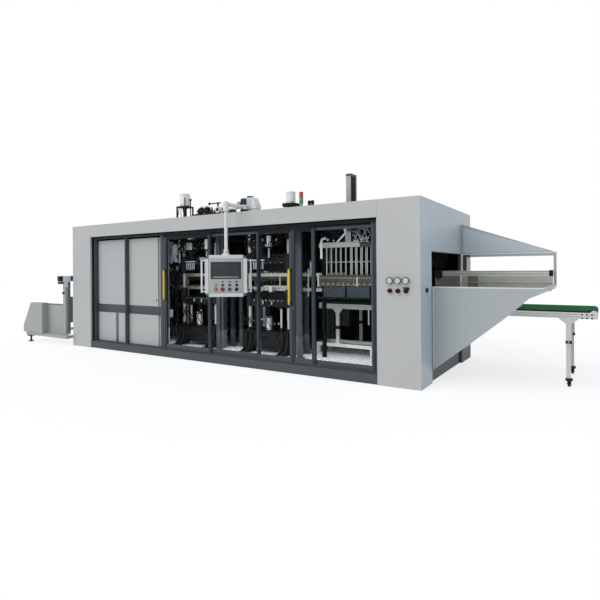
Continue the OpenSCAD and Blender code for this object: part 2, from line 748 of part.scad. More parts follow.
module control_box() in_frame() color("#d8dadb") panel_frame() {
    z0 = panel_z1 - panel_size;
    difference() {
        union() {
            box([-face_w / 2 - 1, -panel_d / 2, z0 + bar_w - 1], [face_w / 2 + 1, panel_d / 2, panel_z1 - bar_w + 1]);
            for (z = [z0, panel_z1 - bar_w])
                box([-face_w / 2 + 4, -panel_d / 2 - 2, z], [face_w / 2 - 4, panel_d / 2 + 2, z + bar_w]);
            for (x = [-panel_size / 2, face_w / 2])
                box([x, -panel_d / 2 - 2, z0 + bar_w], [x + bar_w, panel_d / 2 + 2, panel_z1 - bar_w]);
            rod([0, 0, panel_z1 - 1], 31, 62);
            rod([0, 0, panel_z1 + 29], 21, 44);
            // tube handles at both sides
            for (s = [-1, 1]) {
                rod([s * grip_x, 0, z0 + bar_w + 10], panel_size - 2 * bar_w - 20, grip_r);
                for (z = [z0 + bar_w + 30, panel_z1 - bar_w - 30])
                    rod([s > 0 ? panel_size / 2 - 1 : -grip_x, 0, z], grip_x - panel_size / 2 + 1, 10, "x");
            }
        }
        for (i = [0:3])
            rod([(i - 1.5) * button_dx + 3, -panel_d / 2 - 5, button_z], 45, button_r - 6 + slip, "y");
    }
}

module push_button(i, r) in_frame() panel_frame((i - 1.5) * button_dx + 3) {
    rod([0, -panel_d / 2 - 18, button_z], 11, r, "y");
    rod([0, -panel_d / 2 - 8, button_z], 38, button_r - 6, "y");
}

module amber_button() color("#d9902f") push_button(0, button_r);
module stop_button() color("#7d1420") push_button(1, button_r + 4);
module start_button() color("#1c5a3e") push_button(2, button_r);
module black_button() color("#16181a") push_button(3, button_r);

/* ---- gauges and regulators ---- */

module gauges() in_frame() color("#e9eaea") for (i = [0:2]) {
    rod([gauge_x + i * gauge_dx, -34, gauge_z], 34, gauge_r, "y");
    rod([gauge_x + i * gauge_dx, -1, gauge_z], 36, gauge_r - 12, "y");
}

module regulator_knob(i) in_frame() color("#4a1417") {
    rod([gauge_x + i * gauge_dx, -46, knob_z], 45, knob_r, "y");
    rod([gauge_x + i * gauge_dx, -2, knob_z], 34, knob_stem_r, "y");
}

module regulator_knob_1() regulator_knob(0);
module regulator_knob_2() regulator_knob(1);
module regulator_knob_3() regulator_knob(2);

/* ---- discharge hood ---- */

module hood_panels() in_frame() color("#a7adb1") {
    // lower side plate at the front, a flat sheet
    translate([0, gate_y0 + 3, 0]) rotate([90, 0, 0]) linear_extrude(height = 3)
        polygon([[4, hood_low_z], [hood_l * 0.34, hood_low_z + 440], [hood_l * 0.66, hood_z - 320],
            [hood_l * 0.8, hood_z - 105], [hood_l, hood_z + 45], [4, hood_z + 45]]);
    // upper triangle at the back
    translate([0, hood_rear_y + 4, 0]) rotate([90, 0, 0]) linear_extrude(height = 3)
        polygon([[4, hood_tip_z - 55], [hood_end_x, hood_tip_z - 55], [hood_end_x, hood_tip_z],
            [4, hood_top_z + 18]]);
    // bright chute sheet under the linear axis
    box([4, axis_y + 2, hood_z + 50], [hood_end_x - tube_w - 4, axis_y + 5, axis_z - 8]);
}

module hood_frame() in_frame() color("#b3b7b9") {
    y0 = gate_y0 + 4;
    y1 = hood_rear_y - tube_w;
    w = tube_w;
    // front: rail along the plate's top and a post down the wall
    box([4, y0, hood_z], [hood_l - 60, y0 + w, hood_z + w]);
    box([4, y0, hood_low_z + 60], [4 + w, y0 + w, hood_z + 1]);
    // back: wall post, sloping top, level bar, end post and lower rail
    box([4, y1, hood_z], [4 + w, y1 + w, hood_top_z]);
    strut([10, hood_top_z - 20], [hood_end_x - 10, hood_tip_z - 22], w, y1, y1 + w);
    box([4, y1, hood_tip_z - 55], [hood_end_x, y1 + w, hood_tip_z - 55 + w]);
    box([hood_end_x - w, y1, hood_z], [hood_end_x, y1 + w, hood_tip_z - 20]);
    box([4, y1, hood_z], [hood_end_x, y1 + w, hood_z + w]);
    // cross bars
    box([hood_end_x - w, y0, hood_z], [hood_end_x, y1 + w, hood_z + w]);
}

module linear_axis() in_frame() color("#b9b9b2") {
    box([axis_x0, axis_y, axis_z], [hood_end_x - tube_w - 4, axis_y + axis_w, axis_z + axis_h]);
    for (x = [100, hood_end_x - 200])
        box([x, axis_y + axis_w - 1, axis_z + 10], [x + 60, hood_rear_y - tube_w - 1, axis_z + 76]);
    box([100, hood_rear_y - tube_w - 6, axis_z + 10], [160, hood_rear_y - tube_w - 1, hood_tip_z - 60]);
}

module axis_carriage() in_frame() color("#2a2c2e") {
    box([axis_x0 + 10, axis_y - 26, axis_z - 30], [axis_x0 + 10 + carriage_l, axis_y - 1, axis_z + axis_h + 20]);
    box([axis_x0 + 10, axis_y - 26, axis_z + axis_h + 1], [axis_x0 + 10 + carriage_l, axis_y + axis_w, axis_z + axis_h + 20]);
    rod([axis_x0 + 10 + carriage_l / 2, axis_y - 60, axis_z - 60], 40, 22);
    box([axis_x0 + 40, axis_y - 66, axis_z - 22], [axis_x0 + 100, axis_y - 25, axis_z]);
}

/* ---- conveyor ---- */

module conveyor_frame() in_frame() color("#b5b5b0") {
    difference() {
        for (y = [conv_y0, conv_y1 - conv_rail_w]) {
            box([conv_x0, y, conv_rail_z], [conv_x1, y + conv_rail_w, conv_rail_z + conv_rail_h]);
            for (x = [roller_x0, roller_x1])
                box([x - 45, y, conv_rail_z], [x + 45, y + conv_rail_w, roller_z + 24]);
        }
        for (x = [roller_x0, roller_x1])
            rod([x, conv_y0 - 5, roller_z], conv_w + 10, stub_r + slip, "y");
    }
    for (x = [conv_x0 + 400, leg_in_x, 0, leg_x])
        box([x - 30, conv_y0 + conv_rail_w - 1, conv_rail_z + 8],
            [x + 30, conv_y1 - conv_rail_w + 1, conv_rail_z + 28]);
    // bed under the belt's upper run
    box([conv_x0 + 120, conv_y0 + conv_rail_w - 1, belt_z - belt_t - 8],
        [conv_x1 - 120, conv_y1 - conv_rail_w + 1, belt_z - belt_t - 4]);
    for (x = [conv_x0 + 400, leg_in_x, 0, leg_x], y = [conv_y0 + conv_rail_w - 2, conv_y1 - conv_rail_w - 8])
        box([x - 30, y, conv_rail_z + 80], [x + 30, y + 10, belt_z - belt_t - 7]);
}

module belt_loop(r) {
    translate([roller_x0, roller_z]) circle(r = r);
    translate([roller_x1, roller_z]) circle(r = r);
    translate([roller_x0, roller_z - r]) square([roller_x1 - roller_x0, 2 * r]);
}

module conveyor_belt() in_frame() color("#156b3c")
    translate([0, conv_y1 - conv_rail_w - belt_edge, 0]) rotate([90, 0, 0])
        linear_extrude(height = conv_w - 2 * conv_rail_w - 2 * belt_edge) difference() {
            belt_loop(roller_r + belt_t);
            belt_loop(roller_r + 0.4);
        }

module end_roller(x) in_frame() color("#9a9c9c") {
    rod([x, conv_y0 + conv_rail_w + 2, roller_z], conv_w - 2 * conv_rail_w - 4, roller_r, "y");
    rod([x, conv_y0 + 5, roller_z], conv_w - 10, stub_r, "y");
}

module drive_roller() end_roller(roller_x1);
module idle_roller() end_roller(roller_x0);

module gusset(x, y, reach) {
    translate([x, y + leg_d, 0]) rotate([90, 0, 0]) linear_extrude(height = leg_d)
        polygon([[-reach, conv_rail_z], [reach, conv_rail_z], [reach, conv_rail_z - 14],
            [leg_w / 2, conv_rail_z - 80], [-leg_w / 2, conv_rail_z - 80], [-reach, conv_rail_z - 14]]);
}

module conveyor_legs() in_frame() color("#b5b5b0") {
    for (y = leg_ys) {
        // outer leg: gusset, tube, and the lower tube with the castor's socket
        gusset(leg_x, y, 118);
        box([leg_x - leg_w / 2, y, sleeve_z1], [leg_x + leg_w / 2, y + leg_d, conv_rail_z - 79]);
        difference() {
            box([leg_x - leg_w / 2, y + 3, castor_h], [leg_x + leg_w / 2 - 10, y + leg_d - 3, sleeve_z1 + eps]);
            rod([leg_x, y + leg_d / 2, castor_h - 5], 65, castor_stem_r + slip);
        }
        // inner leg, the near one on the low frame
        foot_z = y < web_y ? low_frame_z - eps : floor_z;
        gusset(leg_in_x, y, 88);
        box([leg_in_x - 32, y, foot_z + 11], [leg_in_x + 26, y + leg_d, conv_rail_z - 79]);
        box([leg_in_x - 60, y - 8, foot_z], [leg_in_x + 60, y + leg_d, foot_z + 12]);
    }
    // low frame on the floor plate
    for (y = [conv_y0 - 8, conv_y0 + 430])
        box([low_frame_x[0], y, low_frame_z - 60], [low_frame_x[1] + 60, y + 60, low_frame_z]);
    for (x = low_frame_x) {
        box([x, conv_y0 - 8, low_frame_z - 60], [x + 60, conv_y0 + 490, low_frame_z]);
        for (y = [conv_y0 - 8, conv_y0 + 430])
            box([x, y, floor_z], [x + 60, y + 60, low_frame_z - 59]);
    }
}

// Swivel castor, trailing to the back
module castor_fork(y) in_frame() color("#1b1c1e") translate([leg_x, y + leg_d / 2, 0]) {
    top = 2 * castor_r + 14;
    rod([0, 0, castor_h - 8], 66, castor_stem_r);
    rod([0, 0, top], castor_h - top - 2, 47);
    for (x = [-castor_t / 2 - 7, castor_t / 2 + 2]) translate([x, 0, 0]) rotate([90, 0, 90])
        linear_extrude(height = 5) difference() {
            polygon([[-24, top + eps], [24, top + eps], [castor_trail + 14, castor_r + 10],
                [castor_trail + 14, castor_r - 12], [castor_trail - 14, castor_r - 12]]);
            translate([castor_trail, castor_r]) circle(r = axle_r + slip);
        }
}

module castor_wheel(y) in_frame() color("#242527") translate([leg_x, y + leg_d / 2 + castor_trail, castor_r]) {
    rod([-castor_t / 2, 0, 0], castor_t, castor_r, "x");
    rod([-castor_t / 2 - 10, 0, 0], castor_t + 20, axle_r, "x");
}

module castor_fork_near() castor_fork(leg_ys[0]);
module castor_fork_far() castor_fork(leg_ys[1]);
module castor_wheel_near() castor_wheel(leg_ys[0]);
module castor_wheel_far() castor_wheel(leg_ys[1]);

/* ---- feed unit ---- */

// Draws its child at the near side and mirrored at the far side of the sheet
module both_sides() {
    children();
    translate([0, 2 * web_y, 0]) mirror([0, 1, 0]) children();
}

module feed_housing() in_frame() color("#aeb0b0") both_sides()
    translate([0, feed_y0 + feed_box_d, 0]) rotate([90, 0, 0]) linear_extrude(height = feed_box_d)
        polygon([[feed_x0, feed_rail_z + feed_rail_h + 6], [feed_x0 + feed_box_l, feed_rail_z + feed_rail_h + 6],
            [feed_x0 + feed_box_l, 947], [feed_x0 + 320, 947], [feed_x0, 390]]);

module feed_side() {
    z1 = feed_rail_z + feed_rail_h;
    post_z = feed_roller_z - 100;
    y = feed_y0 + feed_box_d;
    box([feed_x0 + 60, feed_y0 + 30, feed_rail_z], [-cab_l - gap, feed_y0 + 130, z1]);
    box([feed_x0 + 150, feed_y0 + 40, z1 - eps], [feed_x0 + 700, feed_y0 + 100, z1 + 6]);
    // levelling foot
    rod([feed_foot_x, feed_y0 + 80, 14], feed_rail_z - 13, 14);
    rod([feed_foot_x, feed_y0 + 80, 0], 15, 44);
    // post, its head plate, and the bearing block of the guide roller
    box([feed_post_x - 50, y - 11, z1 - eps], [feed_post_x + 50, y + 110, post_z]);
    box([feed_post_x - 50, feed_y0 + 10, post_z - eps], [feed_post_x + 50, y + 110, post_z + 40]);
    difference() {
        box([feed_post_x - 50, feed_y0 + 10, post_z + 39], [feed_post_x + 50, feed_y0 + 125, feed_roller_z + 57]);
        rod([feed_post_x, feed_y0 - 5, feed_roller_z], 200, guide_stub_r + slip, "y");
    }
    // side sheet between housing and post, and the narrow plate behind the post
    box([feed_x0 + feed_box_l + 4, y - 2, z1 - eps], [feed_post_x - 49, y + 2, 935]);
    box([feed_post_x + 40, y + 109, 500], [feed_post_x + 50, y + 170, 1100]);
}

module feed_frame() in_frame() color("#9fa2a2") {
    both_sides() feed_side();
    // cross beams; the inner one is bolted to the cabinet's end
    for (x = [feed_x0 + 200, -cab_l - 80 - gap])
        box([x, feed_y0 + 99, feed_rail_z + 5], [x + 80, feed_y1 - 99, feed_rail_z + feed_rail_h - 5]);
}

module guide_roller() in_frame() color("#c9cbcb") {
    rod([feed_post_x, feed_y0 + 132, feed_roller_z], feed_y1 - feed_y0 - 264, guide_r, "y");
    rod([feed_post_x, feed_y0 + 15, feed_roller_z], feed_y1 - feed_y0 - 30, guide_stub_r, "y");
}

base_frame();
floor_plate();
front_panels();
outer_panels();
right_wall();
front_frame();
fixed_panes();
cabinet_body();
press_columns();
press_bases();
press_crowns();
press_cylinders();
chain_rails();
oven();
stacker_frame();
roof_canisters();
canister_mounts();
valve_block();
roof_gearmotor();
tower_light();
vertical_axis();
arm_bearing();
hood_panels();
hood_frame();
linear_axis();
conveyor_frame();
conveyor_belt();
conveyor_legs();
gauges();
feed_housing();
feed_frame();
door_left();
door_left_pane();
door_right();
door_right_pane();
cabinet_door_left();
cabinet_door_right();
forming_lower_platen();
forming_upper_platen();
cutting_lower_platen();
cutting_upper_platen();
stacker_head();
axis_carriage();
swing_arm();
control_box();
amber_button();
stop_button();
start_button();
black_button();
regulator_knob_1();
regulator_knob_2();
regulator_knob_3();
drive_roller();
idle_roller();
guide_roller();
valve_lever();
castor_fork_near();
castor_fork_far();
castor_wheel_near();
castor_wheel_far();
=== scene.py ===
"""Looks of a thermoforming line: its finishes, its fittings, and a plain stage with soft light.

Lengths are in metres. Pieces are laid out from the cabinet's front right corner on the floor, with X along
the sheet's travel, Y to the back and Z up; `Shape.made` moves them into the shared frame.
"""

import logging
import math
import random
from dataclasses import dataclass, field
from enum import Enum

import bmesh
import bpy
from mathutils import Matrix, Vector


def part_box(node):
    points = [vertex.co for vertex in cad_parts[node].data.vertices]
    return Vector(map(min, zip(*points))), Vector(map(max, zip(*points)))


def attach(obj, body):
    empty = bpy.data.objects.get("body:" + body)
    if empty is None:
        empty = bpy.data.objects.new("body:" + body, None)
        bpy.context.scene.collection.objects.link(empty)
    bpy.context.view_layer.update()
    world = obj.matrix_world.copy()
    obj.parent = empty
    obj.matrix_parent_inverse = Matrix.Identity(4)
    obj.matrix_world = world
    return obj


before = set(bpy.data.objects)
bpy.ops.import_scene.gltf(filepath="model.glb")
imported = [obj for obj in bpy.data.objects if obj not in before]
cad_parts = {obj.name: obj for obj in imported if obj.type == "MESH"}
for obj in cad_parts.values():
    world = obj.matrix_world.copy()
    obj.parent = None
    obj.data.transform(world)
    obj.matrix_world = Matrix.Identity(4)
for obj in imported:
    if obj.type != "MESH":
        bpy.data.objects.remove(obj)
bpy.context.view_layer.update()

Point = tuple[float, float, float]
Profile = tuple[tuple[float, float], ...]
Colour = tuple[float, float, float, float]
CORNER = Vector((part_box("front_panels")[1].x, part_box("front_panels")[0].y, 0.0))
LOG = logging.getLogger("line")


def shade(red: int, green: int, blue: int) -> Colour:
    """Turns a colour as it is seen on a screen into a linear one.

    Args:
        red: Red, 0 to 255.
        green: Green, 0 to 255.
        blue: Blue, 0 to 255.

    Returns:
        The linear colour with full alpha.
    """
    parts = [value / 255 for value in (red, green, blue)]
    linear = [p / 12.92 if p <= 0.04045 else ((p + 0.055) / 1.055) ** 2.4 for p in parts]
    return (linear[0], linear[1], linear[2], 1.0)


def scaled(colour: Colour, factor: float) -> Colour:
    """Returns the colour made lighter or darker by a factor."""
    return (colour[0] * factor, colour[1] * factor, colour[2] * factor, 1.0)


def corner_box(node: str) -> tuple[Vector, Vector]:
    """Returns a CAD node's lowest and highest corner, measured from the cabinet's corner."""
    low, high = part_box(node)
    return low - CORNER, high - CORNER


class Axis(Enum):
    """A main direction."""

    X = (1.0, 0.0, 0.0)
    Y = (0.0, 1.0, 0.0)
    Z = (0.0, 0.0, 1.0)

    @property
    def vector(self) -> Vector:
        """The direction as a vector."""
        return Vector(self.value)


RIGHT, BACK, UP = (axis.vector for axis in Axis)
LEFT, FRONT, DOWN = -RIGHT, -BACK, -UP
SIDES = (-1, 1)
FLOOR_TOP = 0.156


def placed(name: str, data: bpy.types.ID, matrix: Matrix | None = None) -> bpy.types.Object:
    """Puts a new object into the scene.

    Args:
        name: Name of the object.
        data: Its mesh, lamp or camera.
        matrix: Where it stands, or None for the origin.

    Returns:
        The object.
    """
    item = bpy.data.objects.new(name, data)
    if matrix is not None:
        item.matrix_world = matrix
    bpy.context.scene.collection.objects.link(item)
    return item


# ---------------------------------------------------------------- finishes


class Recipe:
    """Wires the nodes of one material, or of the sky."""

    def __init__(self, name: str, owner: bpy.types.World | None = None) -> None:
        """Starts empty.

        Args:
            name: Name of the material.
            owner: The sky to wire, or None for a new material.
        """
        self.material = owner or bpy.data.materials.new(name)
        self.material.use_nodes = True
        self.tree = self.material.node_tree
        self.tree.nodes.clear()
        self.place = self.add("ShaderNodeTexCoord").outputs["Object"]

    def add(self, kind: str, inputs: dict | None = None, **settings: object) -> bpy.types.Node:
        """Adds a node.

        Args:
            kind: The node's type name.
            inputs: Socket name or number to a value, or to the socket that feeds it.
            **settings: Attributes of the node.

        Returns:
            The new node.
        """
        node = self.tree.nodes.new(kind)
        for key, value in settings.items():
            setattr(node, key, value)
        for key, value in (inputs or {}).items():
            if isinstance(value, bpy.types.NodeSocket):
                self.tree.links.new(value, node.inputs[key])
            else:
                node.inputs[key].default_value = value
        return node

    def stretched(self, scale: Point) -> bpy.types.NodeSocket:
        """Returns the object's coordinates scaled along each axis."""
        return self.add("ShaderNodeMapping", {"Vector": self.place, "Scale": scale}).outputs[0]

    def noise(self, scale: float, detail: float = 3.0, place: object = None) -> bpy.types.NodeSocket:
        """Returns a noise value.

        Args:
            scale: Cells per metre.
            detail: Octaves.
            place: Coordinates, or None for the object's own.

        Returns:
            The factor socket.
        """
        node = self.add("ShaderNodeTexNoise",
                        {"Vector": place or self.place, "Scale": scale, "Detail": detail})
        return node.outputs["Fac"]

    def span(self, value: bpy.types.NodeSocket, low: float, high: float, a: float,
             b: float) -> bpy.types.NodeSocket:
        """Maps a value from one range to another, held at both ends.

        Args:
            value: The value socket.
            low: Start of its range.
            high: End of its range.
            a: Result at the start.
            b: Result at the end.

        Returns:
            The mapped value's socket.
        """
        inputs = {"Value": value, "From Min": low, "From Max": high, "To Min": a, "To Max": b}
        return self.add("ShaderNodeMapRange", inputs).outputs[0]

    def sum(self, operation: str, first: object, second: object = 0.0) -> bpy.types.NodeSocket:
        """Returns the result of a Math node."""
        return self.add("ShaderNodeMath", {0: first, 1: second}, operation=operation).outputs[0]

    def blend(self, factor: bpy.types.NodeSocket, first: object, second: object) -> bpy.types.NodeSocket:
        """Returns a colour between two colours or colour sockets."""
        return self.add("ShaderNodeMix", {0: factor, 6: first, 7: second}, data_type="RGBA").outputs[2]

    def bump(self, height: bpy.types.NodeSocket, strength: float, depth: float) -> bpy.types.NodeSocket:
        """Returns a normal bent by a height."""
        return self.add("ShaderNodeBump",
                        {"Height": height, "Strength": strength, "Distance": depth}).outputs[0]

    def surface(self, shader: bpy.types.NodeSocket) -> bpy.types.Material:
        """Ends the material with this shader and returns it."""
        self.add("ShaderNodeOutputMaterial", {"Surface": shader})
        return self.material

    def solid(self, tone: bpy.types.NodeSocket, rough: object, **more: object) -> bpy.types.Material:
        """Ends the material with a surface that isn't seen through.

        Args:
            tone: Its colour.
            rough: Its roughness, a number or a socket.
            **more: Other inputs of the shader, with underscores for spaces.

        Returns:
            The material.
        """
        inputs = {"Base Color": tone, "Roughness": rough}
        inputs.update((key.replace("_", " "), value) for key, value in more.items())
        return self.surface(self.add("ShaderNodeBsdfPrincipled", inputs).outputs[0])


MADE: dict["Finish", bpy.types.Material] = {}


@dataclass(frozen=True)
class Finish:
    """A finish that pieces share."""

    name: str
    tint: Colour
    roughness: float = 0.45

    def build(self) -> bpy.types.Material:
        """Makes the material; each kind of finish has its own recipe."""
        raise NotImplementedError

    def material(self) -> bpy.types.Material:
        """Returns the material, made once."""
        if self not in MADE:
            MADE[self] = self.build()
        return MADE[self]


@dataclass(frozen=True)
class Paint(Finish):
    """Powder coat or enamel on sheet metal, with orange peel, faint dust and rubbed marks."""

    peel: float = 0.10
    mottle: float = 0.06
    scuff: float = 0.35
    gloss: float = 0.5

    def build(self) -> bpy.types.Material:
        """Makes the paint."""
        mix = Recipe(self.name)
        broad = mix.noise(0.9, 4.0)
        marks = mix.noise(6.0, 6.0, mix.stretched((1.0, 1.0, 0.35)))
        tone = mix.blend(mix.span(broad, 0.35, 0.65, 0.0, 1.0), scaled(self.tint, 1 - self.mottle), self.tint)
        tone = mix.blend(mix.span(marks, 0.66, 0.78, 0.0, self.scuff), tone, scaled(self.tint, 0.86))
        rough = mix.span(marks, 0.3, 0.8, self.roughness - 0.04, self.roughness + 0.1)
        skin = mix.bump(mix.noise(700.0, 2.0), self.peel, 0.0004)
        return mix.solid(tone, rough, Normal=skin, Specular_IOR_Level=self.gloss)


@dataclass(frozen=True)
class Metal(Finish):
    """Bare or plated metal, with a grain along one direction and stains."""

    grain: Point = (60.0, 60.0, 60.0)
    depth: float = 0.12
    stain: float = 0.12
    metallic: float = 1.0

    def build(self) -> bpy.types.Material:
        """Makes the metal."""
        mix = Recipe(self.name)
        lines = mix.noise(6.0, 3.0, mix.stretched(self.grain))
        clouds = mix.noise(7.0, 4.0)
        tone = mix.blend(mix.span(clouds, 0.4, 0.7, 0.0, 1.0), self.tint, scaled(self.tint, 1 - self.stain))
        rough = mix.span(lines, 0.3, 0.7, self.roughness * 0.8, self.roughness * 1.25)
        return mix.solid(tone, rough, Normal=mix.bump(lines, self.depth, 0.0006), Metallic=self.metallic)


@dataclass(frozen=True)
class Casting(Finish):
    """Painted iron casting, rough from the mould and worn where it is handled."""

    wear: float = 0.5
    gloss: float = 0.2

    def build(self) -> bpy.types.Material:
        """Makes the casting."""
        mix = Recipe(self.name)
        pits = mix.noise(130.0, 5.0)
        grime = mix.noise(9.0, 6.0)
        tone = mix.blend(mix.span(grime, 0.45, 0.75, 0.0, self.wear), self.tint, scaled(self.tint, 2.2))
        rough = mix.span(grime, 0.3, 0.7, self.roughness, self.roughness + 0.25)
        return mix.solid(tone, rough, Normal=mix.bump(pits, 0.35, 0.001), Specular_IOR_Level=self.gloss)


@dataclass(frozen=True)
class Moulded(Finish):
    """Moulded plastic or rubber with a fine spark texture."""

    texture: float = 900.0
    coat: float = 0.0
    gloss: float = 0.5

    def build(self) -> bpy.types.Material:
        """Makes the plastic."""
        mix = Recipe(self.name)
        sparks = mix.noise(self.texture, 3.0)
        haze = mix.noise(14.0, 4.0)
        tone = mix.blend(mix.span(haze, 0.4, 0.7, 0.0, 1.0), self.tint, scaled(self.tint, 0.85))
        rough = mix.span(haze, 0.3, 0.7, self.roughness - 0.05, self.roughness + 0.08)
        return mix.solid(tone, rough, Normal=mix.bump(sparks, 0.12, 0.0004), Coat_Weight=self.coat,
                         Specular_IOR_Level=self.gloss)


@dataclass(frozen=True)
class TreadPlate(Finish):
    """Bright aluminium floor plate with raised lozenges turned both ways."""

    pitch: float = 0.085
    lozenge: tuple[float, float] = (1.8, 3.8)
    rise: float = 0.0016

    def build(self) -> bpy.types.Material:
        """Makes the tread plate."""
        mix = Recipe(self.name)
        parts = mix.add("ShaderNodeSeparateXYZ", {0: mix.stretched((1 / self.pitch,) * 3)})
        cells = [mix.sum("FLOOR", parts.outputs[i]) for i in (0, 1)]
        local = [mix.sum("SUBTRACT", mix.sum("SUBTRACT", parts.outputs[i], cells[i]), 0.5) for i in (0, 1)]
        parity = mix.sum("PINGPONG", mix.sum("ADD", cells[0], cells[1]), 1.0)
        turn = mix.sum("SUBTRACT", mix.sum("MULTIPLY", parity, 2.0), 1.0)
        along = mix.sum("ADD", local[0], mix.sum("MULTIPLY", turn, local[1]))
        across = mix.sum("SUBTRACT", local[1], mix.sum("MULTIPLY", turn, local[0]))
        reach = [mix.sum("POWER", mix.sum("MULTIPLY", mix.sum("ABSOLUTE", v), k), 2.0)
                 for v, k in zip((along, across), self.lozenge)]
        mask = mix.span(mix.sum("ADD", reach[0], reach[1]), 0.7, 1.3, 1.0, 0.0)
        dirt = mix.noise(5.0, 6.0)
        tone = mix.blend(mask, scaled(self.tint, 0.33), self.tint)
        tone = mix.blend(mix.span(dirt, 0.5, 0.8, 0.0, 0.4), tone, scaled(self.tint, 0.6))
        rough = mix.span(dirt, 0.3, 0.7, self.roughness, self.roughness + 0.2)
        return mix.solid(tone, rough, Normal=mix.bump(mask, 0.8, self.rise), Metallic=0.1)


@dataclass(frozen=True)
class ClearSheet(Finish):
    """Clear polycarbonate that is seen through, with a weak sheen and wiped smears."""

    index: float = 1.13

    def build(self) -> bpy.types.Material:
        """Makes the clear sheet."""
        mix = Recipe(self.name)
        smear = mix.noise(3.0, 4.0, mix.stretched((1.0, 1.0, 0.3)))
        clear = mix.add("ShaderNodeBsdfTransparent", {"Color": self.tint})
        rough = mix.span(smear, 0.4, 0.7, self.roughness, self.roughness + 0.03)
        sheen = mix.add("ShaderNodeBsdfGlossy", {"Roughness": rough})
        edge = mix.add("ShaderNodeFresnel", {"IOR": self.index}).outputs[0]
        outer = mix.sum("SUBTRACT", 1.0, mix.add("ShaderNodeNewGeometry").outputs["Backfacing"])
        share = mix.sum("MULTIPLY", mix.sum("MULTIPLY", edge, outer), mix.span(smear, 0.3, 0.7, 0.3, 0.6))
        return mix.surface(mix.add("ShaderNodeMixShader",
                                   {0: share, 1: clear.outputs[0], 2: sheen.outputs[0]}).outputs[0])


@dataclass(frozen=True)
class Lens(Finish):
    """Coloured lamp shell with moulded rings, lit a little from inside."""

    glow: float = 0.12

    def build(self) -> bpy.types.Material:
        """Makes the lamp shell."""
        mix = Recipe(self.name)
        rings = mix.add("ShaderNodeTexWave", {"Vector": mix.place, "Scale": 40.0},
                        bands_direction="Z").outputs["Fac"]
        tone = mix.blend(mix.span(rings, 0.0, 1.0, 0.0, 0.4), self.tint, scaled(self.tint, 0.6))
        return mix.solid(tone, self.roughness, Normal=mix.bump(rings, 0.5, 0.001), Emission_Color=self.tint,
                         Emission_Strength=self.glow)


@dataclass(frozen=True)
class Display(Finish):
    """Switched-off screen: dark glass over a faint grid of dots, its tone varying in soft patches."""

    raster: float = 260.0

    def build(self) -> bpy.types.Material:
        """Makes the screen."""
        mix = Recipe(self.name)
        dots = mix.add("ShaderNodeTexVoronoi",
                       {"Vector": mix.place, "Scale": self.raster}).outputs["Distance"]
        cast = mix.noise(2.4, 2.0)
        tone = mix.blend(mix.span(cast, 0.35, 0.65, 0.0, 1.0), scaled(self.tint, 0.85),
                         scaled(self.tint, 1.1))
        tone = mix.blend(mix.span(dots, 0.0, 0.5, 0.0, 0.25), tone, scaled(self.tint, 0.6))
        return mix.solid(tone, self.roughness, Specular_IOR_Level=0.3)


FRONT_COAT = Paint("front_coat", shade(187, 187, 185), 0.42, 0.06, 0.03, 0.12)
# The side and back faces take the front's paint with a cool blue tint painted in: painted sky light on the
# side faces.
SIDE_SKYLIGHT_COAT = Paint("side_skylight_coat", shade(181, 191, 200), 0.40, 0.06, 0.03, 0.12)
SWITCH_COAT = Paint("switch_coat", shade(183, 184, 183), 0.45, 0.10, 0.03, 0.12)
PALE_COAT = Paint("pale_coat", shade(222, 224, 225), 0.38, 0.05, 0.03, 0.1)
STACKER_FRAME = Paint("stacker_frame_coat", shade(10, 11, 13), 0.45, 0.1, 0.10, 0.4, 0.1)
STACKER_COAT = Paint("stacker_coat", shade(188, 186, 178), 0.4, 0.05, 0.05, 0.2)
PANEL_COAT = Paint("panel_coat", shade(172, 178, 176), 0.42, 0.05, 0.03, 0.1)
# A lighter, bluer copy of the hood's paint for the rear triangle: painted light that lifts the shade the end
# wall casts on it.
HOOD_BACK_PAINTED_LIGHT = Paint("hood_back", shade(188, 196, 203), 0.42, 0.05, 0.03, 0.1)
HOOD_COAT = Paint("hood_coat", shade(170, 175, 177), 0.40, 0.05, 0.03, 0.1)
FEED_COAT = Paint("feed_coat", shade(163, 165, 163), 0.45, 0.08, 0.05, 0.2)
DARK_COAT = Paint("dark_coat", shade(73, 82, 87), 0.40, 0.08, 0.08, 0.3, 0.25)
# Near-black paint: on the header and the door tops it is painted shade under the fascia; on the gauges it is
# the rims' own colour.
HEADER_SHADE_AND_RIM_COAT = Paint("header_shade_and_rim_coat", shade(28, 34, 38), 0.45, 0.08, 0.08, 0.3, 0.1)
# Dark blue-grey for faces set back behind the fascia: painted shade of the recess.
RECESS_SHADE_COAT = Paint("recess_shade_coat", shade(44, 54, 63), 0.42, 0.08, 0.08, 0.3, 0.2)
PLINTH_COAT = Paint("plinth_coat", shade(76, 81, 84), 0.5, 0.12, 0.10, 0.5, 0.3)
LINER = Paint("liner", shade(16, 18, 21), 0.7, 0.3, 0.25, 0.6, 0.1)
MACHINE_COAT = Paint("machine_coat", shade(62, 67, 71), 0.5, 0.1, 0.12, 0.5)
BIN_COAT = Paint("bin_coat", shade(22, 25, 28), 0.45, 0.1, 0.10, 0.4, 0.15)
ENAMEL = Paint("white_enamel", shade(238, 239, 238), 0.3, 0.05, 0.04, 0.3)
YELLOW = Moulded("yellow_grip", shade(240, 192, 24), 0.4, 500.0, 0.1)
BLACK_IRON = Casting("black_iron", shade(20, 20, 20), 0.5, 0.25)
PLATEN_IRON = Casting("platen_iron", shade(28, 29, 31), 0.42, 0.4)
BLACK_PLASTIC = Moulded("black_plastic", shade(22, 23, 25), 0.45, 900.0, 0.0, 0.25)
BLACK_RUBBER = Moulded("black_rubber", shade(26, 27, 28), 0.7, 300.0, 0.0, 0.2)
HOSE_RUBBER = Moulded("hose_rubber", shade(20, 21, 23), 0.5, 200.0, 0.0, 0.25)
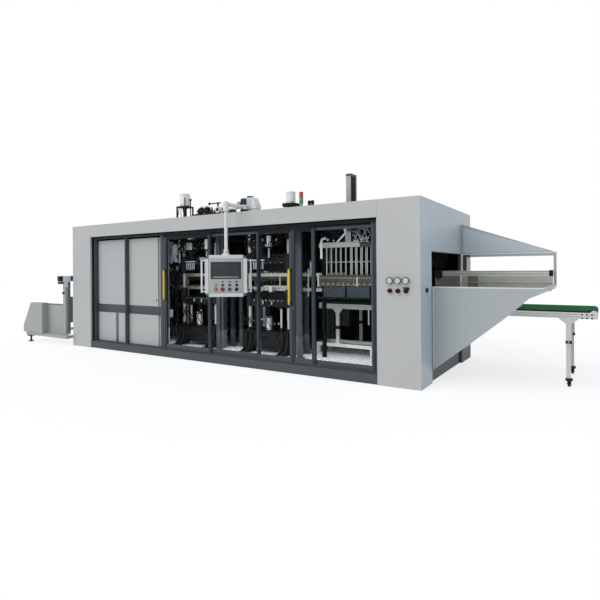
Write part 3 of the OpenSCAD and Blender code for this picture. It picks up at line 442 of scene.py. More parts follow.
CHROME = Metal("ground_chrome", shade(222, 221, 217), 0.3, (40.0, 40.0, 6.0), 0.04, 0.06, 0.3)
COLUMN_STEEL = Metal("column_steel", shade(202, 197, 188), 0.38, (40.0, 40.0, 4.0), 0.05, 0.12, 0.15)
STEEL = Metal("turned_steel", shade(206, 207, 208), 0.3, (8.0, 60.0, 60.0), 0.1, 0.15, 0.45)
DARK_STEEL = Metal("dark_steel", shade(96, 98, 100), 0.38, (30.0, 30.0, 30.0), 0.12, 0.3, 0.9)
PROFILE = Metal("anodised_profile", shade(202, 202, 197), 0.42, (2.0, 60.0, 60.0), 0.06, 0.06, 0.15)
AXIS_BAR = Metal("axis_bar", shade(226, 226, 220), 0.42, (2.0, 60.0, 60.0), 0.05, 0.05, 0.1)
WARM_RAIL = Metal("warm_rail", shade(226, 220, 206), 0.4, (2.0, 60.0, 60.0), 0.08, 0.12, 0.1)
BROWN_PLATE = Metal("brown_plate", shade(84, 72, 60), 0.45, (2.0, 40.0, 40.0), 0.15, 0.3, 0.3)
STAINLESS = Metal("stainless_sheet", shade(178, 177, 168), 0.35, (0.5, 6.0, 6.0), 0.02, 0.1, 0.3)
SHEET_SHADE = Metal("sheet_shade", shade(122, 117, 106), 0.35, (0.5, 6.0, 6.0), 0.02, 0.2, 0.3)
BRUSHED = Metal("brushed_heater", shade(128, 130, 132), 0.4, (1.0, 50.0, 50.0), 0.15, 0.3)
ZINC = Metal("zinc_screw", shade(170, 171, 170), 0.35, (40.0, 40.0, 40.0), 0.1, 0.2)
TREAD = TreadPlate("tread_plate", shade(250, 251, 252), 0.4)
PANE = ClearSheet("clear_pane", (0.94, 0.965, 0.975, 1.0), 0.03)
DIAL_GLASS = ClearSheet("dial_glass", (0.98, 0.98, 0.98, 1.0), 0.02, 1.3)
BELT = Moulded("green_belt", shade(18, 92, 54), 0.85, 160.0, 0.0, 0.05)
# Dark green for the belt's side along its edges, painted darker as the shade of the gap between belt and
# rail.
BELT_EDGE_SHADE = Moulded("belt_edge", shade(10, 54, 29), 0.85, 160.0, 0.0, 0.05)
RED_PLASTIC = Moulded("red_plastic", shade(140, 20, 34), 0.3, 700.0, 0.3)
AMBER_PLASTIC = Moulded("amber_plastic", shade(214, 140, 60), 0.3, 700.0, 0.3)
GREEN_PLASTIC = Moulded("green_plastic", shade(30, 92, 66), 0.3, 700.0, 0.3)
KNOB_RED = Moulded("knob_red", shade(58, 6, 14), 0.5, 600.0, 0.0, 0.15)
LAMP_WHITE = Lens("lamp_white", shade(245, 247, 248), 0.3, 0.5)
POST_SHADE = Paint("post_shade", shade(112, 112, 110), 0.5, 0.1, 0.1, 0.3)
SCREEN = Display("screen_glass", shade(52, 61, 65), 0.3)
BEZEL = Moulded("screen_bezel", shade(44, 50, 50), 0.5, 900.0, 0.0, 0.3)
LAMP_RED = Lens("lamp_red", shade(196, 40, 34), 0.25)
LAMP_GREEN = Lens("lamp_green", shade(40, 150, 76), 0.25)
BIN_FACE = Paint("bin_face", shade(46, 51, 56), 0.5, 0.1, 0.1, 0.3)
COVER_EDGE = Paint("cover_edge_coat", shade(92, 98, 103), 0.5, 0.05, 0.05, 0.2)
DIAL_WHITE = Paint("dial_white", shade(216, 219, 221), 0.5, 0.03, 0.02, 0.05)


def dress(finish: Finish, *nodes: str) -> None:
    """Gives CAD nodes their finish.

    Args:
        finish: The finish.
        *nodes: Names of the nodes.
    """
    for name in nodes:
        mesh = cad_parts[name].data
        mesh.materials.clear()
        mesh.materials.append(finish.material())


# ---------------------------------------------------------------- shapes


CREASE = math.radians(34)


class Shape:
    """Collects the solids of one piece, measured from the cabinet's corner or from a place of its own."""

    def __init__(self, place: Matrix | None = None) -> None:
        """Starts an empty piece.

        Args:
            place: Where the piece's own origin lies, or None for the cabinet's corner.
        """
        self.mesh = bmesh.new()
        self.place = place or Matrix.Identity(4)

    def block(self, low: Point, high: Point, edge: float = 0.002) -> "Shape":
        """Adds a box with eased edges.

        Args:
            low: Lowest corner.
            high: Highest corner.
            edge: Width of the eased edges.

        Returns:
            This shape.
        """
        made = bmesh.ops.create_cube(self.mesh, size=1.0)["verts"]
        for vert in made:
            vert.co = Vector([low[i] + (vert.co[i] + 0.5) * (high[i] - low[i]) for i in range(3)])
        edge = min(edge, 0.3 * min(high[i] - low[i] for i in range(3)))
        if edge > 0:
            edges = list({e for v in made for e in v.link_edges})
            bmesh.ops.bevel(self.mesh, geom=edges, offset=edge, segments=2, affect="EDGES", profile=0.5)
        return self

    def rod(self, start: Point, end: Point, radius: float, sides: int = 20,
            tip: float | None = None) -> "Shape":
        """Adds a round bar or a cone.

        Args:
            start: Centre of its first end.
            end: Centre of its last end.
            radius: Radius at the first end.
            sides: Faces round it.
            tip: Radius at the last end, or None for the same.

        Returns:
            This shape.
        """
        a, b = Vector(start), Vector(end)
        turn = (b - a).to_track_quat("Z", "Y").to_matrix().to_4x4()
        bmesh.ops.create_cone(self.mesh, cap_ends=True, segments=sides, radius1=radius,
                              radius2=radius if tip is None else tip, depth=(b - a).length,
                              matrix=Matrix.Translation((a + b) / 2) @ turn)
        return self

    def skin(self, rings: list[list[bmesh.types.BMVert]]) -> "Shape":
        """Closes a solid over rings of corners.

        Args:
            rings: Rings of equal length, in order along the solid.

        Returns:
            This shape.
        """
        count = len(rings[0])
        for lower, upper in zip(rings, rings[1:]):
            for i in range(count):
                j = (i + 1) % count
                self.mesh.faces.new((lower[i], lower[j], upper[j], upper[i]))
        self.mesh.faces.new(list(reversed(rings[0])))
        self.mesh.faces.new(rings[-1])
        return self

    def turned(self, base: Point, axis: Vector, profile: Profile | list, sides: int = 32) -> "Shape":
        """Adds a turned solid.

        Args:
            base: Start of its axis.
            axis: Direction of its axis.
            profile: Radius and height pairs along the axis.
            sides: Faces round it.

        Returns:
            This shape.
        """
        place = Matrix.Translation(Vector(base)) @ axis.to_track_quat("Z", "Y").to_matrix().to_4x4()
        angles = [2 * math.pi * i / sides for i in range(sides)]
        return self.skin([[self.mesh.verts.new(place @ Vector((radius * math.cos(a), radius * math.sin(a),
                                                               height)))
                           for a in angles] for radius, height in profile])

    def prism(self, outline: list[tuple[float, float]], low: float, high: float,
              axis: Axis = Axis.Y) -> "Shape":
        """Adds a flat outline with thickness.

        Args:
            outline: Corners in the plane across the axis, the lower axis letter first.
            low: Start of the thickness along the axis.
            high: End of it.
            axis: Direction of the thickness.

        Returns:
            This shape.
        """
        def corner(pair: tuple[float, float], depth: float) -> Vector:
            """Returns one corner of the solid."""
            a, b = pair
            return Vector({Axis.X: (depth, a, b), Axis.Y: (a, depth, b), Axis.Z: (a, b, depth)}[axis])

        return self.skin([[self.mesh.verts.new(corner(pair, depth)) for pair in outline]
                          for depth in (low, high)])

    def hose(self, points: list[Point], radius: float, sides: int = 8, steps: int = 6) -> "Shape":
        """Adds a round hose along a smooth curve.

        Args:
            points: Points that it passes.
            radius: Its radius.
            sides: Faces round it.
            steps: Rings between two points.

        Returns:
            This shape.
        """
        route = [Vector(p) for p in points]
        route = [2 * route[0] - route[1], *route, 2 * route[-1] - route[-2]]
        line = []
        for a, b, c, d in zip(route, route[1:], route[2:], route[3:]):
            for k in range(steps):
                t = k / steps
                line.append(0.5 * (2 * b + (c - a) * t + (2 * a - 5 * b + 4 * c - d) * t**2
                                   + (3 * b - a - 3 * c + d) * t**3))
        line.append(route[-2])
        up, rings = Vector((0.31, 0.17, 0.93)), []
        for i, spot in enumerate(line):
            way = (line[min(i + 1, len(line) - 1)] - line[max(i - 1, 0)]).normalized()
            side = up.cross(way).normalized()
            up = way.cross(side)
            rings.append([self.mesh.verts.new(spot + radius * (math.cos(a) * side + math.sin(a) * up))
                          for a in (2 * math.pi * k / sides for k in range(sides))])
        return self.skin(rings)

    def screw(self, spot: Point, axis: Vector, radius: float = 0.008) -> "Shape":
        """Adds a hexagon screw head on its washer.

        Args:
            spot: Centre of the washer's foot.
            axis: The way it points.
            radius: Radius of the head.

        Returns:
            This shape.
        """
        point = Vector(spot)
        self.rod(point, point + axis * radius * 0.25, radius * 1.5, 14)
        return self.rod(point + axis * radius * 0.25, point + axis * radius * 0.9, radius, 6)

    def made(self, name: str, finish: Finish, body: str = "cabinet",
             slot: str = "black_part") -> bpy.types.Object:
        """Ends the piece and fastens it to a body.

        Args:
            name: Name of the piece.
            finish: Its finish.
            body: The CAD body that it rides on.
            slot: The record's material slot for it; not used.

        Returns:
            The new object.
        """
        bmesh.ops.recalc_face_normals(self.mesh, faces=self.mesh.faces)
        for face in self.mesh.faces:
            face.smooth = True
        for edge in self.mesh.edges:
            edge.smooth = len(edge.link_faces) == 2 and edge.calc_face_angle(0.0) < CREASE
        self.mesh.transform(Matrix.Translation(CORNER) @ self.place)
        data = bpy.data.meshes.new(name)
        self.mesh.to_mesh(data)
        self.mesh.free()
        data.materials.append(finish.material())
        piece = placed(name, data)
        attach(piece, body)
        LOG.info("%s: %d faces on %s", name, len(data.polygons), body)
        return piece


def shapes(count: int) -> list[Shape]:
    """Returns this many empty shapes, measured from the cabinet's corner."""
    return [Shape() for _ in range(count)]


def circle(count: int, radius: float, start: float = 0.0) -> list[tuple[float, float]]:
    """Returns evenly spaced points on a circle.

    Args:
        count: How many points.
        radius: The circle's radius.
        start: Angle of the first one, in degrees.

    Returns:
        Pairs of coordinates.
    """
    angles = [math.radians(start + 360 * i / count) for i in range(count)]
    return [(radius * math.cos(a), radius * math.sin(a)) for a in angles]


# ---------------------------------------------------------------- cabinet


@dataclass
class Cabinet:
    """Cladding, floor, inner lining, seams and screws of the long cabinet."""

    liner_gap: float = 0.066
    rib_step: float = 1.1
    screw_radius: float = 0.007
    seam: float = 0.006
    low: Vector = field(default_factory=lambda: corner_box("outer_panels")[0])
    high: Vector = field(default_factory=lambda: corner_box("outer_panels")[1])

    def build(self) -> None:
        """Builds and dresses the whole cabinet shell."""
        dress(PLINTH_COAT, "base_frame")
        dress(TREAD, "floor_plate")
        dress(FRONT_COAT, "front_panels")
        # the side and back panels and the right wall carry the front's paint with painted cool sky light
        dress(SIDE_SKYLIGHT_COAT, "outer_panels", "right_wall")
        dress(DARK_COAT, "front_frame")
        dress(PANE, "fixed_panes", "door_left_pane", "door_right_pane")
        self.lining()
        self.seams()
        self.front_trim()
        self.ceiling_lamps()

    def lining(self) -> None:
        """Adds dark sheets behind the cladding, so that the inside reads as deep shade."""
        x0, x1 = self.low.x + self.liner_gap, -self.liner_gap
        y0, y1 = 0.19, self.high.y - self.liner_gap
        top, t = self.high.z - self.liner_gap, 0.004
        lining = Shape()
        lining.block((x0, y1 - t, 0.16), (x1, y1, top))
        lining.block((x0, y0, top - t), (x1, y1, top))
        for x in (x0, x0 + 1.0):
            lining.block((x - t if x == x0 else x, 0.60, 1.80), (x, y1, top), 0.0)
        for low, high in (((-0.062, 0.19, 0.16), (-0.058, 0.505, top)),
                          ((-0.062, 2.30, 0.16), (-0.058, y1, top)),
                          ((-0.062, 0.19, 2.10), (-0.058, y1, top))):
            lining.block(low, high)
        x = x0
        while x < x1:
            lining.block((x, y1 - 0.05, 0.16), (x + 0.06, y1 - t, top))
            x += self.rib_step
        lining.made("inner_lining", LINER, slot="frame_dark")

    def seams(self) -> None:
        """Adds the cladding's dark seams at the back, left end and roof, its screws, locks and louvres."""
        low, high, e = self.low, self.high, 0.0004
        seams, screws, slots, hoods, locks = shapes(5)
        half, step = self.seam / 2, (high.x - low.x) / 7
        for i in range(1, 7):
            x = low.x + i * step
            seams.block((x - half, high.y - 0.004, 0.02), (x + half, high.y + e, high.z - 0.01), 0.0)
            seams.block((x - half, 0.004, high.z - 0.004), (x + half, high.y - 0.004, high.z + 2 * e), 0.0)
        seams.block((low.x + 0.01, high.y - 0.004, 2.30), (high.x - 0.01, high.y + e, 2.30 + self.seam), 0.0)
        for y in (high.y / 3, high.y * 2 / 3):
            seams.block((low.x - e, y - half, 1.42), (low.x + 0.004, y + half, high.z - 0.01), 0.0)
        for i in range(7):
            a, b = low.x + i * step + 0.05, low.x + (i + 1) * step - 0.05
            middle = (a + b) / 2
            for x in (a, middle, b):
                for z in (0.08, 2.22, 2.36, high.z - 0.05):
                    screws.rod((x, high.y - 0.003, z), (x, high.y + e, z), self.screw_radius, 12)
                for y in (0.05, high.y / 2, high.y - 0.05):
                    screws.rod((x, y, high.z - 0.003), (x, y, high.z + 3 * e), self.screw_radius, 12)
            for z in (0.55, 1.90):
                locks.turned((b - 0.03, high.y - 0.001, z), BACK, [(0.024, 0.0), (0.024, 0.0014)], 24)
            locks.block((b - 0.045, high.y - 0.001, 1.15), (b - 0.015, high.y + e, 1.35), 0.0)
            if i % 2:
                for k in range(12):
                    z = 0.62 + k * 0.055
                    slots.block((middle - 0.30, high.y - 0.002, z), (middle + 0.30, high.y + e, z + 0.016),
                                0.0)
                    hoods.block((middle - 0.31, high.y - 0.002, z + 0.014),
                                (middle + 0.31, high.y + e / 2, z + 0.028), 0.0)
        seams.made("panel_seams", BLACK_RUBBER, slot="frame_dark")
        screws.made("panel_screws", ZINC, slot="side_grey")
        slots.made("louvre_slots", BLACK_RUBBER, slot="frame_dark")
        hoods.made("louvre_hoods", SIDE_SKYLIGHT_COAT, slot="side_grey")
        locks.made("back_locks", BLACK_PLASTIC)

    def front_trim(self) -> None:
        """Adds the header's dark face, painted shade under the fascia, the tracks on the sill and the joints
        of the fascia.
        """
        low, high = corner_box("front_frame")
        trim = Shape()
        trim.block((low.x, 0.001, high.z - 0.006), (high.x, 0.07, high.z - 0.0005), 0.0)
        trim.block((low.x + 0.001, low.y - 0.001, high.z - 0.0495),
                   (high.x - 0.001, low.y + 0.001, high.z - 0.006), 0.0005)
        for a, b in ((-3.980, -2.900), (-1.755, -0.770)):
            trim.block((a, 0.1205, 2.352), (b, 0.1225, 2.389), 0.0005)
        trim.made("header_shade_face", HEADER_SHADE_AND_RIM_COAT, slot="frame_dark")
        sill = Shape()
        sill.block((low.x + 0.01, 0.07, low.z + 0.0205), (high.x - 0.01, 0.076, low.z + 0.026), 0.001)
        sill.block((low.x + 0.01, 0.117, low.z + 0.0205), (high.x - 0.01, 0.1215, low.z + 0.026), 0.001)
        sill.made("sill_tracks", DARK_STEEL, slot="frame_dark")
        joints = Shape()
        for x in (low.x - 0.002, high.x + 0.002):
            joints.block((x - 0.001, -0.0002, high.z + 0.004), (x + 0.001, 0.02, self.high.z - 0.002), 0.0)
        joints.made("fascia_joints", DARK_COAT, slot="panel_grey")

    def ceiling_lamps(self) -> None:
        """Adds the lamps under the roof, each a white tray with its end caps."""
        trays, caps = shapes(2)
        for x0, x1 in ((-5.06, -4.86), (-5.80, -5.50), (-3.02, -2.86), (-4.10, -3.90)):
            trays.block((x0, 0.62, 2.405), (x1, 0.68, 2.435), 0.006)
            for x in (x0 - 0.02, x1):
                caps.block((x, 0.615, 2.40), (x + 0.02, 0.685, 2.455), 0.004)
                caps.rod((x + 0.01, 0.65, 2.45), (x + 0.01, 0.65, 2.63), 0.006, 10)
        trays.made("ceiling_lamps", LAMP_WHITE, slot="white_tube")
        caps.made("ceiling_lamp_caps", BLACK_PLASTIC)


@dataclass
class Doors:
    """Sliding doors and fixed bays: grips, seals, recessed faces and rollers."""

    grips: tuple[tuple[str, float], ...] = (("door_left", -5.144), ("door_right", -2.2026))
    grip_low: float = 1.10
    grip_high: float = 1.71
    grip_y: float = 0.034
    grip_radius: float = 0.0185
    leaf_y: float = 0.080
    seal: float = 0.010

    def frame_of(self, shape: Shape, low: Point, high: Point, width: float) -> Shape:
        """Adds a flat frame in the plane of the doors.

        Args:
            shape: The shape to add to.
            low: Lowest corner of the frame.
            high: Highest corner.
            width: Width of its bars.

        Returns:
            The shape.
        """
        (x0, y0, z0), (x1, y1, z1) = low, high
        for a, b in (((x0, z0), (x0 + width, z1)), ((x1 - width, z0), (x1, z1)),
                     ((x0 + width, z0), (x1 - width, z0 + width)),
                     ((x0 + width, z1 - width), (x1 - width, z1))):
            shape.block((a[0], y0, a[1]), (b[0], y1, b[1]), 0.001)
        return shape

    def build(self) -> None:
        """Builds both doors and the seals of the fixed panes."""
        dress(DARK_COAT, "door_left", "door_right")
        for body, x in self.grips:
            self.grip(body, x)
            self.leaf(body)
        self.fixed_seals()

    def grip(self, body: str, x: float) -> None:
        """Adds the yellow grip of one door with its feet.

        Args:
            body: The door.
            x: Where its grip stands.
        """
        y, r = self.grip_y, self.grip_radius
        sleeve = Shape().turned((x, y, self.grip_low + 0.012), UP,
                                [(r - 0.004, 0.0), (r, 0.006), (r, 0.580), (r - 0.004, 0.586)], 28)
        for k in range(1, 5):
            z = self.grip_low + 0.012 + 0.586 * k / 5
            sleeve.turned((x, y, z - 0.002), UP, [(r, 0.0), (r + 0.0012, 0.0015), (r, 0.004)], 28)
        sleeve.made(f"{body}_grip", YELLOW, body, "button_amber")
        ends = Shape()
        for z in (self.grip_low + 0.03, self.grip_high - 0.03):
            ends.block((x - 0.016, y + 0.012, z - 0.022), (x + 0.016, self.leaf_y - 0.0005, z + 0.022), 0.004)
            ends.screw((x, y - r - 0.0005, z), FRONT, 0.004)
        ends.made(f"{body}_grip_feet", BLACK_PLASTIC, body)

    def leaf(self, body: str) -> None:
        """Adds the seal round a door's pane, the faces of its stiles, painted dark as the shade of their
        recess, its lock and rollers.

        Args:
            body: The door.
        """
        node_low, node_high = corner_box(body)
        y = self.leaf_y
        seals = Shape()
        stile = {"door_left": (-5.2105, -5.1155), "door_right": (-2.2216, -2.1266)}[body]
        spans = {"door_left": [(-5.1155, node_high.x - 0.040)],
                 "door_right": [(node_low.x + 0.040, -2.2216), (-2.1266, node_high.x - 0.040)]}[body]
        for a, b in spans:
            self.frame_of(seals, (a, y + 0.004, 0.215), (b, y + 0.0135, 2.330), self.seal)
        seals.made(f"{body}_seals", BLACK_RUBBER, body, "frame_dark")
        face = Shape()
        for a, b in ((stile[0] + 0.034, stile[1] - 0.005), (node_high.x - 0.030, node_high.x - 0.010)):
            face.block((a, y - 0.0012, 0.18), (b, y + 0.001, 2.365), 0.0008)
        if body == "door_right":
            face.block((node_low.x + 0.010, y - 0.0012, 0.18), (node_low.x + 0.030, y + 0.001, 2.365), 0.0008)
        face.made(f"{body}_faces", RECESS_SHADE_COAT, body, "frame_dark")
        # the door's top face is painted near-black: painted shade under the fascia
        top = Shape().block((node_low.x + 0.004, y - 0.0014, 2.333), (node_high.x - 0.004, y + 0.001, 2.379),
                            0.0008)
        top.made(f"{body}_top_shade_face", HEADER_SHADE_AND_RIM_COAT, body, "frame_dark")
        strip = Shape().block((spans[0][0] + 0.001, y - 0.001, 2.301),
                              (spans[-1][1] - 0.001, y + 0.001, 2.333), 0.0005)
        strip.made(f"{body}_top_seal", BLACK_RUBBER, body, "frame_dark")
        fittings = Shape()
        x = stile[1] - 0.020
        fittings.block((x - 0.012, y - 0.006, 1.02), (x + 0.012, y, 1.08), 0.003)
        fittings.rod((x, y - 0.010, 1.05), (x, y - 0.005, 1.05), 0.008, 16)
        for px in (node_low.x + 0.12, node_high.x - 0.12):
            fittings.rod((px, y + 0.008, 0.160), (px, y + 0.027, 0.160), 0.010, 20)
            fittings.block((px - 0.03, y + 0.006, 2.368), (px + 0.03, y + 0.029, 2.385), 0.002)
        fittings.made(f"{body}_fittings", DARK_STEEL, body, "frame_dark")

    def fixed_seals(self) -> None:
        """Adds the seals of the fixed panes and the faces of the fixed bars, painted dark as the shade of
        their recess.
        """
        seals, faces = shapes(2)
        panes = ((-3.980, -2.900), (-1.755, -0.770))
        for a, b in panes:
            self.frame_of(seals, (a, 0.1265, 0.200), (b, 0.1345, 2.350), self.seal)
        for x in (-4.000, -1.775):
            faces.block((x - 0.011, 0.1215, 0.18), (x + 0.011, 0.1228, 2.375), 0.0006)
        for a, b in ((-7.445, -7.418), (-0.745, -0.700), (-6.372, -6.352)):
            faces.block((a, 0.0786, 0.18), (b, 0.0795, 2.375), 0.0003)
        seals.made("fixed_pane_seals", BLACK_RUBBER, slot="frame_dark")
        faces.made("bar_faces", RECESS_SHADE_COAT, slot="frame_dark")


@dataclass
class ElectricalCabinet:
    """Switchgear cabinet behind the two left bays: locks, stiffeners, cover screws and switchgear."""

    face_y: float = 0.160
    doors: tuple[tuple[str, float, float], ...] = (("cabinet_door_left", -7.380, -6.386),
                                                   ("cabinet_door_right", -6.338, -5.454))
    lock_z: float = 1.088
    low_z: float = 0.965
    high_z: float = 2.356
    screw_head: Profile = ((0.007, 0.0), (0.006, 0.002), (0.002, 0.003))

    def build(self) -> None:
        """Builds the locks, covers and switchgear."""
        dress(SWITCH_COAT, "cabinet_body", "cabinet_door_left", "cabinet_door_right")
        for body, x0, x1 in self.doors:
            lock = Shape()
            lock.turned((x1 - 0.040, self.face_y - 0.0095, self.lock_z), FRONT,
                        [(0.0145, -0.003), (0.0145, 0.0), (0.011, 0.004), (0.004, 0.0045)], 24)
            lock.block((x1 - 0.0425, self.face_y - 0.018, self.lock_z - 0.010),
                       (x1 - 0.0375, self.face_y - 0.012, self.lock_z + 0.010), 0.001)
            lock.made(f"{body}_lock", BLACK_PLASTIC, body, "black_part")
            stiffener = Shape()
            for z in (1.25, 1.66, 2.07):
                stiffener.block((x0 + 0.05, self.face_y + 0.004, z - 0.02),
                                (x1 - 0.05, self.face_y + 0.020, z + 0.02))
            stiffener.block((x0 + 0.012, self.face_y + 0.006, self.low_z + 0.03),
                            (x0 + 0.020, self.face_y + 0.022, self.high_z - 0.03))
            stiffener.made(f"{body}_stiffeners", ZINC, body, "elec_grey")
        self.covers()
        self.switchgear()

    def covers(self) -> None:
        """Adds the rail over the lower covers, the left cover's strip and joint, and the screws."""
        screws, rail, strip = shapes(3)
        y = self.face_y
        rail.block((-7.388, y - 0.004, 0.788), (-5.2725, y + 0.001, 0.959), 0.002)
        rail.made("switch_rail", DARK_COAT, slot="frame_dark")
        # the strip marks the covers' edge; the plate beside it closes the gap between them
        strip.block((-6.784, y - 0.003, 0.158), (-6.698, y + 0.001, 0.786), 0.001)
        strip.made("cover_strip", COVER_EDGE, slot="frame_dark")
        joint = Shape()
        joint.block((-6.5535, y - 0.0008, 0.158), (-6.5105, y + 0.001, 0.782), 0.0)
        joint.made("cover_joint", SWITCH_COAT, slot="elec_grey")
        for x0, x1 in ((-7.384, -6.552), (-6.360, -5.448)):
            for x in (x0 + 0.03, x1 - 0.03):
                for z in (0.19, 0.46, 0.75):
                    screws.turned((x, self.face_y, z), FRONT, self.screw_head, 14)
        for x in (-7.340, -6.40, -6.30, -5.50):
            screws.turned((x, self.face_y - 0.004, 0.873), FRONT, self.screw_head, 14)
        screws.made("cover_screws", ZINC, slot="elec_grey")

    def switchgear(self) -> None:
        """Adds the mounting plates and rows of switchgear that show when a door is open."""
        rng = random.Random(11)
        plates, gear, ducts, wires = shapes(4)
        for x0, x1 in ((-7.340, -6.400), (-6.310, -5.490)):
            plates.block((x0, 0.412, 1.02), (x1, 0.418, 2.30))
            for z in (1.12, 1.42, 1.72, 2.02):
                plates.block((x0 + 0.06, 0.402, z + 0.03), (x1 - 0.06, 0.412, z + 0.065))
                ducts.block((x0 + 0.04, 0.352, z + 0.17), (x1 - 0.04, 0.411, z + 0.22))
                x = x0 + 0.08
                while x < x1 - 0.14:
                    wide = rng.choice((0.018, 0.036, 0.045, 0.072))
                    tall = rng.uniform(0.07, 0.11)
                    deep = rng.uniform(0.05, 0.08)
                    gear.block((x, 0.402 - deep, z + 0.05 - tall / 2),
                               (x + wide - 0.002, 0.402, z + 0.05 + tall / 2), 0.002)
                    gear.block((x + wide * 0.3, 0.396 - deep, z + 0.04),
                               (x + wide * 0.6, 0.402 - deep, z + 0.06), 0.001)
                    wires.hose([(x + wide / 2, 0.40 - deep / 2, z + 0.05 + tall / 2 - 0.002),
                                (x + wide / 2, 0.39 - deep / 2, z + 0.13),
                                (x + wide / 2 + 0.004, 0.380, z + 0.175)],
                               0.002, 6, 3)
                    x += wide + rng.choice((0.0, 0.0, 0.012))
        plates.made("mounting_plates", ZINC, slot="elec_grey")
        gear.made("switchgear", BLACK_PLASTIC, slot="black_part")
        ducts.made("cable_ducts", FEED_COAT, slot="elec_grey")
        wires.made("switchgear_wires", HOSE_RUBBER, slot="black_part")


# ---------------------------------------------------------------- inside


def loops(shape: Shape, rng: random.Random, low: Point, high: Point, count: int, radius: float) -> Shape:
    """Adds loose hoses that wander inside a box.

    Args:
        shape: The shape to add to.
        rng: Source of the random draws.
        low: Lowest corner of the box.
        high: Highest corner.
        count: How many hoses.
        radius: Their radius.

    Returns:
        The shape.
    """
    for _ in range(count):
        points = [tuple(rng.uniform(low[i], high[i]) for i in range(3)) for _ in range(4)]
        points.sort(key=lambda p: p[0] + 0.3 * p[2])
        shape.hose(points, radius * rng.uniform(0.8, 1.2), 7, 6)
    return shape


def fittings(shape: Shape, rng: random.Random, low: Point, high: Point, count: int, size: float) -> Shape:
    """Adds small boxes and barrels scattered in a box.

    Args:
        shape: The shape to add to.
        rng: Source of the random draws.
        low: Lowest corner of the box.
        high: Highest corner.
        count: How many.
        size: Their typical size.

    Returns:
        The shape.
    """
    for _ in range(count):
        spot = [rng.uniform(low[i], high[i]) for i in range(3)]
        wide, tall = size * rng.uniform(0.4, 1.1), size * rng.uniform(0.5, 1.4)
        if rng.random() < 0.5:
            shape.block((spot[0] - wide / 2, spot[1] - wide / 2, spot[2] - tall / 2),
                        (spot[0] + wide / 2, spot[1] + wide / 2, spot[2] + tall / 2), 0.003)
        else:
            shape.rod((spot[0], spot[1], spot[2] - tall / 2), (spot[0], spot[1], spot[2] + tall / 2),
                      wide / 2.4, 16)
    return shape


